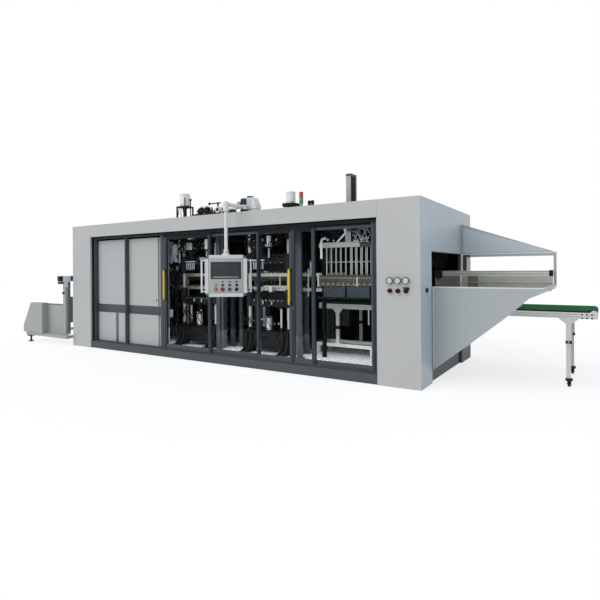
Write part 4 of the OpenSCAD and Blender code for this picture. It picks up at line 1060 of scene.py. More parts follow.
@dataclass
class Station:
    """One press station: its collars, castings, drives, hoses and the fittings of both platens."""

    name: str
    x: float
    seed: int
    column_dx: float = 0.4425
    column_y: tuple[float, float] = (0.7475, 2.0475)
    base_z: float = 0.55
    crown_z: float = 2.31
    platen_front: float = 0.7075
    crown_front: float = 0.6785
    lower_z: float = 1.0
    upper_z: float = 1.8
    wiper: Profile = ((0.062, 0.0), (0.062, 0.006), (0.045, 0.010))

    def columns(self) -> list[tuple[float, float]]:
        """Returns the centres of the four guide columns."""
        return [(self.x + side * self.column_dx, y) for side in SIDES for y in self.column_y]

    def build(self) -> None:
        """Builds every fitting of the station."""
        self.collars()
        self.castings()
        self.cylinder()
        self.lower_platen()
        self.upper_platen()
        self.crown_units()
        self.services()

    def collars(self) -> None:
        """Adds clamp collars under the crown and flanges on the base, round each column."""
        collars, nuts = shapes(2)
        for x, y in self.columns():
            collars.turned((x, y, self.crown_z - 0.075), UP,
                           [(0.040, 0.0), (0.048, 0.006), (0.048, 0.05), (0.064, 0.054), (0.064, 0.0755)], 36)
            collars.turned((x, y, self.base_z - 0.0005), UP,
                           [(0.080, 0.0), (0.080, 0.020), (0.052, 0.026), (0.046, 0.055), (0.040, 0.060)], 36)
            for dx, dy in circle(6, 0.066, 30):
                nuts.screw((x + dx, y + dy, self.base_z + 0.0195), UP, 0.007)
            for dx, dy in circle(4, 0.056, 45):
                nuts.screw((x + dx, y + dy, self.crown_z - 0.021), DOWN, 0.005)
        collars.made(f"{self.name}_collars", BLACK_IRON, slot="black_casting")
        nuts.made(f"{self.name}_nuts", DARK_STEEL, slot="machine_grey")

    def castings(self) -> None:
        """Adds rims, ribs and the spread, curved feet of the cast base."""
        cast = Shape()
        reach, table, front = 0.5715, 0.5115, self.column_y[0] - 0.06
        arch = [(self.x + 0.3715 * math.cos(a), front - 0.004, 0.095 + 0.3715 * math.sin(a))
                for a in (math.pi * k / 14 for k in range(1, 14))]
        cast.hose(arch, 0.018, 8, 3)
        for side in SIDES:
            cast.hose([(self.x + side * reach * 0.99, front - 0.004, 0.17),
                       (self.x + side * (reach + table) / 2, front - 0.004, 0.35),
                       (self.x + side * table * 0.98, front - 0.004, 0.54)], 0.018, 8, 4)
            foot = []
            for k in range(9):
                a = math.radians(90 * k / 8)
                foot.append((front + 0.002 - 0.20 * (1 - math.cos(a)), 0.50 - 0.345 * math.sin(a)))
            outline = foot + [(front - 0.26, FLOOR_TOP), (front - 0.26, 0.18)]
            outline += [(front - 0.165 * (1 - math.cos(a)) - 0.035, 0.53 - 0.345 * math.sin(a))
                        for a in (math.radians(90 * k / 8) for k in range(8, -1, -1))]
            for offset in (0.36, 0.47):
                x = self.x + side * offset
                cast.prism(outline, x - 0.014, x + 0.014, Axis.X)
            cast.block((self.x + side * 0.415 - 0.09, front - 0.28, 0.1555),
                       (self.x + side * 0.415 + 0.09, front, 0.178), 0.006)
            cast.block((self.x + side * 0.22 - 0.012, front - 0.03, 0.44),
                       (self.x + side * 0.22 + 0.012, front, 0.548), 0.004)
        cast.block((self.x - table, front - 0.022, 0.522), (self.x + table, front + 0.001, 0.550), 0.005)
        cast.block((self.x - 0.365, front + 0.020, 0.215), (self.x + 0.365, front + 0.030, 0.470), 0.004)
        cast.made(f"{self.name}_base_ribs", BLACK_IRON, slot="black_casting")
        bolts = Shape()
        for side in SIDES:
            for dx in (-0.06, 0.06):
                for y in (front - 0.25, front - 0.14):
                    bolts.screw((self.x + side * 0.415 + dx, y, 0.178), UP, 0.011)
        bolts.made(f"{self.name}_anchor_bolts", DARK_STEEL, slot="machine_grey")

    def cylinder(self) -> None:
        """Adds end caps, tie rods and ports to the white lift cylinder, and the guides beside it."""
        y, z0, z1, r = 0.7375, 0.552, 0.811, 0.041
        caps, ties = shapes(2)
        for z in (z0, z1 - 0.020):
            caps.block((self.x - r, y - r, z), (self.x + r, y + r, z + 0.022), 0.004)
        caps.turned((self.x, y, z1 + 0.002), UP, [(0.026, 0.0), (0.026, 0.018), (0.016, 0.022)], 28)
        for dx, dy in circle(4, 0.051, 45):
            ties.rod((self.x + dx, y + dy, z0 + 0.002), (self.x + dx, y + dy, z1 + 0.012), 0.0045, 12)
            ties.rod((self.x + dx, y + dy, z1 + 0.002), (self.x + dx, y + dy, z1 + 0.010), 0.008, 6)
        for z in (z0 + 0.045, z1 - 0.05):
            caps.rod((self.x, y - 0.034, z), (self.x, y - 0.060, z), 0.009, 12)
        for side in SIDES:
            x = self.x + side * 0.26
            caps.turned((x, y + 0.03, self.base_z), UP,
                        [(0.045, 0.0), (0.045, 0.014), (0.030, 0.018), (0.030, 0.070)], 28)
        caps.made(f"{self.name}_cylinder_caps", BLACK_PLASTIC, slot="black_casting")
        ties.made(f"{self.name}_tie_rods", CHROME, slot="chrome_rod")
        hoses = Shape()
        hoses.hose([(self.x, y - 0.058, z1 - 0.05), (self.x + 0.03, y - 0.10, z1 - 0.07),
                    (self.x + 0.09, y - 0.09, 0.66),
                    (self.x + 0.13, y - 0.07, 0.60), (self.x + 0.15, y - 0.02, 0.556)], 0.007)
        hoses.hose([(self.x, y - 0.058, z0 + 0.045), (self.x - 0.03, y - 0.09, z0 + 0.05),
                    (self.x - 0.08, y - 0.07, 0.585),
                    (self.x - 0.12, y - 0.02, 0.556)], 0.007)
        hoses.made(f"{self.name}_cylinder_hoses", HOSE_RUBBER)

    def lower_platen(self) -> None:
        """Adds guides, ribs, wipers and slots to the lower platen; they move with it."""
        body, front, z = f"{self.name}_lower_platen", self.platen_front, self.lower_z
        dress(PLATEN_IRON, body)
        bright, dark = shapes(2)
        for side in SIDES:
            bright.rod((self.x + side * 0.26, 0.7675, 0.42), (self.x + side * 0.26, 0.7675, z + 0.002), 0.019,
                       28)
            bright.rod((self.x + side * 0.10, front - 0.02, z + 0.02),
                       (self.x + side * 0.10, front - 0.02, z + 0.11), 0.012, 20)
            dark.block((self.x + side * 0.26 - 0.05, front + 0.004, z - 0.03),
                       (self.x + side * 0.26 + 0.05, front + 0.11, z + 0.001), 0.006)
            dark.block((self.x + side * 0.10 - 0.03, front - 0.045, z + 0.015),
                       (self.x + side * 0.10 + 0.03, front + 0.002, z + 0.045), 0.005)
        for x, y in self.columns():
            dark.turned((x, y, z + 0.3195), UP, self.wiper, 32)
            for dx, dy in circle(6, 0.056, 0):
                bright.screw((x + dx, y + dy, z + 0.320), UP, 0.0045)
        for k in range(9):
            x = self.x - 0.36 + 0.09 * k
            dark.block((x - 0.005, front - 0.006, z + 0.05), (x + 0.005, front + 0.001, z + 0.125), 0.002)
            bright.screw((x + 0.045, front, z + 0.118), FRONT, 0.0065)
        dark.block((self.x - 0.40, front - 0.012, z + 0.004), (self.x + 0.40, front + 0.001, z + 0.030),
                   0.004)
        bright.made(f"{self.name}_lower_guides", CHROME, body, "chrome_rod")
        dark.made(f"{self.name}_lower_ribs", PLATEN_IRON, body, "platen_dark")

    def upper_platen(self) -> None:
        """Adds air cylinders, a manifold, wipers and hoses to the upper platen; they move with it."""
        body, front, z = f"{self.name}_upper_platen", self.platen_front, self.upper_z
        dress(PLATEN_IRON, body)
        bright, dark, white, hoses = shapes(4)
        for k in range(5):
            x = self.x - 0.300 + 0.052 * k
            bright.rod((x, front - 0.026, z - 0.105), (x, front - 0.026, z + 0.055), 0.014, 20)
            dark.block((x - 0.017, front - 0.044, z - 0.112), (x + 0.017, front - 0.008, z - 0.100), 0.002)
            dark.block((x - 0.017, front - 0.044, z + 0.040), (x + 0.017, front + 0.001, z + 0.055), 0.002)
            hoses.hose([(x, front - 0.030, z + 0.078), (x + 0.01, front - 0.05, z + 0.12),
                        (x + 0.05, front - 0.035, z + 0.150),
                        (x + 0.09, front - 0.004, z + 0.163)], 0.0045, 6, 4)
        white.block((self.x - 0.33, front - 0.048, z + 0.0565), (self.x - 0.06, front - 0.006, z + 0.080),
                    0.004)
        units = white if self.name == "forming" else dark
        for k in range(4):
            x = self.x + 0.06 + 0.08 * k
            units.block((x, front - 0.030, z + 0.10), (x + 0.045, front + 0.001, z + 0.15), 0.004)
            hoses.hose([(x + 0.02, front - 0.028, z + 0.12), (x + 0.03, front - 0.07, z + 0.05),
                        (x - 0.02, front - 0.06, z - 0.02),
                        (x - 0.01, front - 0.01, z + 0.008)], 0.006, 7, 5)
        for x, y in self.columns():
            dark.turned((x, y, z - 0.1645), DOWN, self.wiper, 32)
            dark.turned((x, y, z + 0.1695), UP, self.wiper, 32)
            for dx, dy in circle(6, 0.056, 0):
                bright.screw((x + dx, y + dy, z + 0.1695), UP, 0.0045)
        for k in range(7):
            x = self.x - 0.36 + 0.12 * k
            dark.prism([(front - 0.001, z + 0.172), (front + 0.10, z + 0.172), (front + 0.10, z + 0.235)],
                       x - 0.008, x + 0.008, Axis.X)
            bright.screw((x + 0.06, front, z + 0.02), FRONT, 0.0065)
        bright.made(f"{self.name}_air_cylinders", STEEL, body, "chrome_rod")
        dark.made(f"{self.name}_upper_ribs", PLATEN_IRON, body, "platen_dark")
        white.made(f"{self.name}_manifolds", PALE_COAT, body, "white_tube")
        hoses.made(f"{self.name}_upper_hoses", HOSE_RUBBER, body)

    def crown_units(self) -> None:
        """Adds the drives that hang from the crown's front edge, and what is cast on it."""
        front, z = self.crown_front, self.crown_z
        dark, bright, white = shapes(3)
        forming = self.name == "forming"
        plate, lid = (bright, white) if forming else (dark, dark)
        x = self.x - 0.10 if forming else self.x - 0.24
        if not forming:
            bright.rod((self.x - 0.31, 0.585, z - 0.30), (self.x - 0.31, 0.585, z + 0.06), 0.040, 32)
            dark.block((self.x - 0.36, 0.56, z - 0.34), (self.x - 0.26, front + 0.01, z - 0.30), 0.008)
            dark.block((self.x - 0.36, 0.56, z + 0.06), (self.x - 0.26, front + 0.01, z + 0.09), 0.006)
        dark.block((x - 0.115, front - 0.135, z - 0.035), (x + 0.115, front + 0.05, z + 0.003), 0.008)
        dark.block((x - 0.098, front - 0.125, z - 0.255), (x + 0.098, front + 0.03, z - 0.034), 0.012)
        for k in range(6):
            dark.block((x - 0.104, front - 0.131, z - 0.240 + 0.034 * k),
                       (x + 0.104, front + 0.036, z - 0.232 + 0.034 * k), 0.002)
        dark.turned((x, front - 0.05, z - 0.254), DOWN,
                    [(0.075, 0.0), (0.075, 0.03), (0.055, 0.035), (0.055, 0.10),
                                                                     (0.03, 0.105), (0.03, 0.16)], 32)
        plate.block((x - 0.082, front - 0.1345, z - 0.205), (x + 0.082, front - 0.127, z - 0.060), 0.003)
        for dx in (-0.055, 0.055):
            for dz in (-0.20, -0.085):
                bright.screw((x + dx, front - 0.1345, z + dz), FRONT, 0.006)
        lid.block((x - 0.060, front - 0.120, z + 0.0035), (x + 0.060, front - 0.02, z + 0.075), 0.006)
        other = self.x + (0.32 if forming else 0.095)
        white.turned((other, 0.62, z - 0.205), UP,
                     [(0.034, 0.0), (0.044, 0.008), (0.044, 0.195), (0.036, 0.206)], 32)
        bright.rod((other, 0.62, z - 0.43), (other, 0.62, z - 0.20), 0.017, 24)
        dark.turned((other, 0.62, z - 0.225), UP,
                    [(0.030, 0.0), (0.050, 0.004), (0.050, 0.020), (0.030, 0.024)], 28)
        dark.turned((other, 0.62, z - 0.440), UP,
                    [(0.016, -0.02), (0.032, 0.0), (0.032, 0.030), (0.022, 0.034)], 28)
        for k in range(8):
            rib = self.x - 0.47 + 0.134 * k
            dark.prism([(front + 0.001, z + 0.004), (front - 0.035, z + 0.09), (front + 0.001, z + 0.09)],
                       rib - 0.007, rib + 0.007, Axis.X)
        dark.block((self.x - 0.5, front - 0.04, z + 0.084), (self.x + 0.5, front + 0.001, z + 0.098), 0.004)
        dark.made(f"{self.name}_crown_drive", BLACK_IRON, slot="black_casting")
        bright.made(f"{self.name}_crown_bright", STEEL, slot="chrome_rod")
        white.made(f"{self.name}_crown_white", ENAMEL, slot="white_tube")

    def services(self) -> None:
        """Adds the hoses, cables and small units on the machine beside the station."""
        rng, x = random.Random(self.seed), self.x
        dark, grey, hoses = shapes(3)
        fittings(dark, rng, (x - 0.44, 0.60, 2.10), (x + 0.44, 0.66, 2.27), 16, 0.055)
        fittings(grey, rng, (x - 0.44, 0.58, 2.12), (x + 0.44, 0.64, 2.28), 8, 0.035)
        loops(hoses, rng, (x - 0.50, 0.58, 2.02), (x + 0.50, 0.67, 2.29), 9, 0.007)
        loops(hoses, rng, (x - 0.50, 0.60, 0.62), (x - 0.05, 0.68, 0.95), 4, 0.007)
        for side in SIDES:
            chain_x = x + side * 0.60
            for k in range(26):
                z = 0.62 + 0.055 * k
                dark.block((chain_x - 0.028, 0.86, z), (chain_x + 0.028, 0.91, z + 0.046), 0.006)
            hoses.hose([(chain_x + side * 0.01, 0.86, 2.02), (chain_x, 0.80, 2.15),
                        (chain_x - side * 0.06, 0.72, 2.22),
                        (chain_x - side * 0.12, 0.69, 2.29)], 0.016, 10, 6)
            fittings(dark, rng, (chain_x - 0.03, 0.70, 0.62), (chain_x + 0.03, 0.80, 1.0), 5, 0.06)
        fittings(grey, rng, (x - 0.5, 0.62, 0.66), (x + 0.5, 0.67, 0.90), 5, 0.03)
        dark.made(f"{self.name}_services", BLACK_PLASTIC)
        grey.made(f"{self.name}_small_units", STEEL, slot="chrome_rod")
        hoses.made(f"{self.name}_hoses", HOSE_RUBBER)


@dataclass
class ChainRails:
    """Chain rails through the line: bolts, clamps, the chain itself and grey sleeves on their posts."""

    front: float = 0.9775
    x1: float = -2.06
    chain_x: float = -5.60
    bolt_step: float = 0.11
    link_step: float = 0.034
    rails: tuple[float, float] = (1.29, 1.56)
    rail_h: float = 0.060
    posts: tuple[float, ...] = (-5.904, -4.246, -2.492)
    rail_posts: tuple[float, ...] = (-5.5543, -4.0256)

    def build(self) -> None:
        """Builds the fittings of both near rails and of the oven."""
        dress(WARM_RAIL, "chain_rails")
        dress(BRUSHED, "oven")
        rng = random.Random(23)
        bolts, dark, chain, clutter = shapes(4)
        x = self.chain_x
        while x < self.x1:
            for z in self.rails:
                bolts.screw((x, self.front, z + self.rail_h / 2), FRONT, 0.007)
            if rng.random() < 0.45:
                z = rng.choice(self.rails)
                dark.block((x - 0.03, self.front - 0.05, z + self.rail_h),
                           (x + 0.03, self.front + 0.02, z + self.rail_h + 0.028), 0.004)
                clutter.rod((x, self.front - 0.02, z + self.rail_h),
                            (x, self.front - 0.02,
                             z + self.rail_h + 0.032 + rng.uniform(0, 0.06) * (z < 1.5)),
                            rng.uniform(0.006, 0.014), 14)
            x += self.bolt_step
        x = self.chain_x
        while x < self.x1 - 0.05:
            chain.block((x, self.front + 0.012, 1.500), (x + 0.026, self.front + 0.030, 1.522), 0.004)
            chain.rod((x + 0.013, self.front + 0.006, 1.511), (x + 0.013, self.front + 0.036, 1.511), 0.006,
                      10)
            x += self.link_step
        dark.block((-5.62, self.front + 0.036, 1.475), (self.x1, self.front + 0.046, 1.555), 0.002)
        dark.block((-5.62, self.front + 0.008, 1.365), (self.x1, self.front + 0.040, 1.385), 0.002)
        bolts.made("rail_bolts", ZINC, slot="beige_rail")
        dark.made("rail_guards", BROWN_PLATE, slot="beige_rail")
        chain.made("gripper_chain", DARK_STEEL, slot="machine_grey")
        clutter.made("rail_pins", STEEL, slot="chrome_rod")
        self.post_sleeves()
        self.bay_five(rng)
        self.bay_three(rng)

    def post_sleeves(self) -> None:
        """Adds the grey sleeves and foot plates of the posts."""
        sleeves = Shape()
        for x in self.posts[1:]:
            sleeves.block((x - 0.006, self.front - 0.002, FLOOR_TOP), (x + 0.066, self.front + 0.062, 1.285),
                          0.003)
            sleeves.block((x - 0.05, self.front - 0.05, 0.1555), (x + 0.11, self.front + 0.11, 0.170), 0.003)
        for x in self.posts:
            sleeves.block((x - 0.003, 1.7575, FLOOR_TOP), (x + 0.068, 1.822, 1.285), 0.003)
        for x in self.rail_posts:
            sleeves.block((x - 0.004, self.front + 0.001, FLOOR_TOP), (x + 0.064, self.front + 0.059, 1.285),
                          0.003)
        for x in (-5.66, -4.16, -2.30):
            sleeves.block((x - 0.045, 0.50, FLOOR_TOP), (x + 0.045, 0.55, 2.60), 0.003)
            sleeves.block((x - 0.075, 0.47, 0.1555), (x + 0.075, 0.58, 0.168), 0.003)
        sleeves.made("grey_posts", MACHINE_COAT, slot="machine_grey")

    def bay_five(self, rng: random.Random) -> None:
        """Adds the clamps, cylinders and rods in front of the rails in the fifth bay.

        Args:
            rng: Source of the random draws.
        """
        bright, dark, pale = shapes(3)
        for x, low, high, r in ((-3.42, 1.268, 1.34, 0.020), (-2.98, 1.36, 1.55, 0.012),
                                (-3.32, 1.63, 1.665, 0.014),
                                (-2.80, 1.36, 1.50, 0.010), (-2.36, 1.20, 1.70, 0.010),
                                (-2.30, 1.62, 1.83, 0.020)):
            bright.rod((x, self.front - 0.07, low), (x, self.front - 0.07, high), r, 20)
        pale.block((-3.36, self.front - 0.06, 1.355), (-2.62, self.front - 0.005, 1.385), 0.003)
        pale.block((-3.20, self.front - 0.12, 1.268), (-3.14, self.front - 0.04, 1.37), 0.003)
        for k in range(14):
            x = -3.40 + 0.085 * k
            dark.block((x, self.front - 0.055, 1.395),
                       (x + 0.05, self.front - 0.01, 1.395 + rng.uniform(0.02, 0.09)), 0.004)
            pale.rod((x + 0.02, self.front - 0.03, 1.625),
                     (x + 0.02, self.front - 0.03, 1.625 + rng.uniform(0.01, 0.035)), 0.011, 14)
        bright.made("bay_five_rods", CHROME, slot="chrome_rod")
        dark.made("bay_five_blocks", BLACK_PLASTIC)
        pale.made("bay_five_brackets", WARM_RAIL, slot="beige_rail")

    def bay_three(self, rng: random.Random) -> None:
        """Adds the white filter, the pale reservoir and its pipes at the left of the third bay.

        Args:
            rng: Source of the random draws.
        """
        white, dark, pale, hoses = shapes(4)
        white.turned((-5.605, 0.64, 0.705), UP,
                     [(0.034, 0.0), (0.042, 0.008), (0.042, 0.155), (0.034, 0.163)], 32)
        for z in (0.672, 0.868):
            dark.turned((-5.605, 0.64, z), UP, [(0.030, 0.0), (0.048, 0.004), (0.048, 0.030), (0.020, 0.034)],
                        28)
        dark.rod((-5.605, 0.64, 0.90), (-5.605, 0.64, 1.00), 0.014, 16)
        dark.block((-5.66, 0.60, 0.30), (-5.55, 0.68, 0.66), 0.01)
        pale.block((-5.70, 0.66, 1.90), (-5.60, 0.72, 2.30), 0.006)
        pale.turned((-5.50, 0.66, 2.02), UP, [(0.03, -0.02), (0.075, 0.0), (0.075, 0.20), (0.03, 0.235)], 32)
        pale.prism([(-5.62, 1.86), (-5.53, 1.86), (-5.46, 2.02), (-5.56, 2.02)], 0.60, 0.63)
        pale.prism([(-5.46, 1.86), (-5.36, 1.86), (-5.43, 2.02), (-5.48, 2.02)], 0.60, 0.63)
        pale.rod((-5.33, 0.63, 1.84), (-5.33, 0.63, 2.34), 0.014, 16)
        hoses.hose([(-5.50, 0.64, 2.24), (-5.46, 0.62, 2.33), (-5.34, 0.62, 2.35), (-5.25, 0.64, 2.26),
                    (-5.24, 0.66, 2.10)], 0.018, 10)
        fittings(dark, rng, (-5.72, 0.62, 1.05), (-5.30, 0.72, 1.80), 14, 0.09)
        fittings(pale, rng, (-5.70, 0.60, 1.66), (-5.34, 0.66, 1.84), 9, 0.035)
        loops(hoses, rng, (-5.72, 0.58, 1.10), (-5.28, 0.66, 1.90), 8, 0.008)
        white.made("air_filter", ENAMEL, slot="white_tube")
        dark.made("bay_three_units", BLACK_PLASTIC)
        pale.made("reservoir", PALE_COAT, slot="white_tube")
        hoses.made("bay_three_hoses", HOSE_RUBBER)


@dataclass
class Stacker:
    """Stacker: pipes and hoses on its beam, the punched setting plate, extra rods, and the bins' rims."""

    x0: float = -2.0168
    x1: float = -1.0308
    y: float = 0.7475
    plate: tuple[float, float] = (1.412, 1.588)
    beam: tuple[float, float] = (2.058, 2.133)
    body: str = "stacker_head"

    def build(self) -> None:
        """Builds the parts on the head, then those on the frame."""
        dress(STACKER_FRAME, "stacker_frame")
        dress(STACKER_COAT, "stacker_head")
        rng = random.Random(31)
        self.plate_cover()
        self.rods_and_beam()
        self.pipes(rng)
        self.bins()

    def plate_cover(self) -> None:
        """Adds the brown cover of the setting plate, with two rows of bright screws and dark slots."""
        front, (low, high) = self.y - 0.090, self.plate
        cover = Shape()
        cover.block((self.x0 + 0.02, front - 0.004, low + 0.004),
                    (self.x1 + 0.003, front + 0.001, high - 0.012), 0.001)
        cover.block((self.x0 + 0.02, front - 0.010, high - 0.026),
                    (self.x1 + 0.003, front + 0.153, high + 0.002), 0.001)
        cover.made("setting_plate_cover", BROWN_PLATE, self.body, "beige_rail")
        dots, slots = shapes(2)
        for k in range(20):
            x = self.x0 + 0.06 + 0.048 * k
            dots.turned((x, front - 0.004, high - 0.045), FRONT,
                        [(0.007, 0.0), (0.007, 0.003), (0.003, 0.005)], 12)
            if k % 2:
                dots.turned((x, front - 0.004, low + 0.028), FRONT,
                            [(0.009, 0.0), (0.009, 0.003), (0.003, 0.005)], 12)
            else:
                slots.block((x - 0.012, front - 0.0055, low + 0.06), (x + 0.012, front - 0.003, low + 0.075),
                            0.0008)
            slots.block((x - 0.018, front - 0.0115, high - 0.018), (x + 0.010, front - 0.009, high - 0.006),
                        0.0008)
        dots.made("setting_plate_screws", CHROME, self.body, "chrome_rod")
        slots.made("setting_plate_slots", BLACK_PLASTIC, self.body)
        clamps = Shape()
        clamps.block((-1.275, front - 0.030, low + 0.01), (-1.247, front - 0.003, high - 0.03), 0.004)
        clamps.block((-1.285, front - 0.034, low - 0.005), (-1.237, front - 0.010, low + 0.03), 0.004)
        clamps.block((self.x0 - 0.004, front - 0.012, low - 0.02),
                     (self.x0 + 0.030, front + 0.02, high + 0.01), 0.004)
        clamps.made("plate_clamps", STACKER_COAT, self.body, "white_tube")

    def rods_and_beam(self) -> None:
        """Adds the thin rods at the right, a cross strip with its nuts, and the beam's sleeve and clamps."""
        rods, nuts, dark = shapes(3)
        for x in (-1.39, -1.30, -1.205, -1.115, -1.045):
            rods.rod((x, self.y - 0.030, self.plate[1]), (x, self.y - 0.030, self.beam[0] + 0.003), 0.0085,
                     16)
        for k in range(10):
            x = self.x0 + 0.128 + 0.092 * k
            for z in (self.plate[1] + 0.0015, self.beam[0] - 0.018):
                nuts.rod((x, self.y, z), (x, self.y, z + 0.018), 0.020, 6)
        rods.block((self.x0 + 0.10, self.y + 0.014, 1.803), (self.x1 - 0.02, self.y + 0.022, 1.817), 0.001)
        for k in range(24):
            x = self.x0 + 0.12 + 0.036 * k
            nuts.rod((x, self.y + 0.014, 1.81), (x, self.y + 0.008, 1.81), 0.007, 6)
        for x in (self.x0 + 0.17, self.x0 + 0.36):
            for k in range(12):
                dark.block((x - 0.008, self.y + 0.02, 1.62 + 0.035 * k),
                           (x + 0.008, self.y + 0.05, 1.642 + 0.035 * k), 0.003)
        dark.block((-1.24, self.y - 0.054, self.beam[0] - 0.004),
                   (self.x1 + 0.004, self.y + 0.054, self.beam[1] + 0.004), 0.004)
        rods.made("stacker_rods", COLUMN_STEEL, self.body, "chrome_rod")
        nuts.made("stacker_nuts", ZINC, self.body, "chrome_rod")
        dark.made("stacker_dark_trim", MACHINE_COAT, self.body, "machine_grey")

    def pipes(self, rng: random.Random) -> None:
        """Adds the white pipes, the vacuum manifold and the tangle of hoses above the beam.

        Args:
            rng: Source of the random draws.
        """
        y, top = self.y - 0.075, self.beam[1]
        white, silver, dark = shapes(3)
        silver.block((self.x0 + 0.06, y - 0.055, top - 0.001), (self.x1 - 0.02, y + 0.06, top + 0.005), 0.001)
        x = self.x0 + 0.10
        white.hose([(x, y - 0.06, 1.87), (x, y - 0.06, 2.00), (x, y - 0.06, 2.14),
                    (x + 0.015, y - 0.05, 2.20),
                    (x + 0.06, y - 0.02, 2.215), (x + 0.10, y + 0.01, 2.18)], 0.021, 12)
        white.hose([(-1.63, y - 0.03, top - 0.004), (-1.60, y - 0.03, 2.17), (-1.53, y - 0.03, 2.235),
                    (-1.475, y - 0.03, 2.30),
                    (-1.50, y - 0.02, 2.345)], 0.017, 12)
        for px in (-1.462, -1.425, -1.388):
            white.rod((px, y - 0.03, top - 0.002), (px, y - 0.03, 2.35), 0.011, 16)
        white.block((-1.485, y - 0.05, 2.335), (-1.365, y - 0.01, 2.365), 0.004)
        for px in (-1.70, -1.32, -1.19, -1.09):
            white.rod((px, y - 0.02, top - 0.002), (px, y - 0.02, top + 0.05), 0.014, 16)
        loops(silver, rng, (-1.34, y - 0.06, 2.15), (-1.04, y, 2.42), 9, 0.0065)
        loops(dark, rng, (-1.95, y - 0.05, 2.14), (-1.06, y, 2.36), 10, 0.009)
        fittings(dark, rng, (-1.90, y, 2.145), (-1.06, y + 0.05, 2.20), 14, 0.05)
        fittings(silver, rng, (-1.34, y - 0.04, 2.14), (-1.04, y, 2.30), 9, 0.03)
        white.made("stacker_pipes", ENAMEL, self.body, "white_tube")
        silver.made("stacker_silver_hoses", STEEL, self.body, "chrome_rod")
        dark.made("stacker_black_hoses", HOSE_RUBBER, self.body)

    def bins(self) -> None:
        """Adds the rims, ribs and handles of the two bins, and the shelf's edge."""
        rims, edge, faces = shapes(3)
        for x in (self.x0 + 0.110, self.x0 + 0.550):
            faces.block((x + 0.002, self.y - 0.0912, 1.219), (x + 0.413, self.y - 0.0892, 1.386), 0.0005)
            rims.block((x - 0.004, self.y - 0.096, 1.384), (x + 0.419, self.y - 0.0895, 1.3995), 0.002)
            rims.block((x + 0.15, self.y - 0.097, 1.345), (x + 0.265, self.y - 0.0895, 1.365), 0.003)
            for k in range(4):
                rims.block((x + 0.03 + 0.115 * k, self.y - 0.0925, 1.222),
                           (x + 0.040 + 0.115 * k, self.y - 0.0895, 1.384), 0.001)
        edge.block((self.x0 - 0.014, self.y - 0.064, 1.185), (self.x1 + 0.015, self.y - 0.0595, 1.220), 0.002)
        rims.made("bin_rims", BIN_FACE, slot="machine_grey")
        faces.made("bin_faces", BIN_FACE, slot="machine_grey")
        edge.made("shelf_edge", BIN_COAT, slot="machine_grey")


# ---------------------------------------------------------------- outside


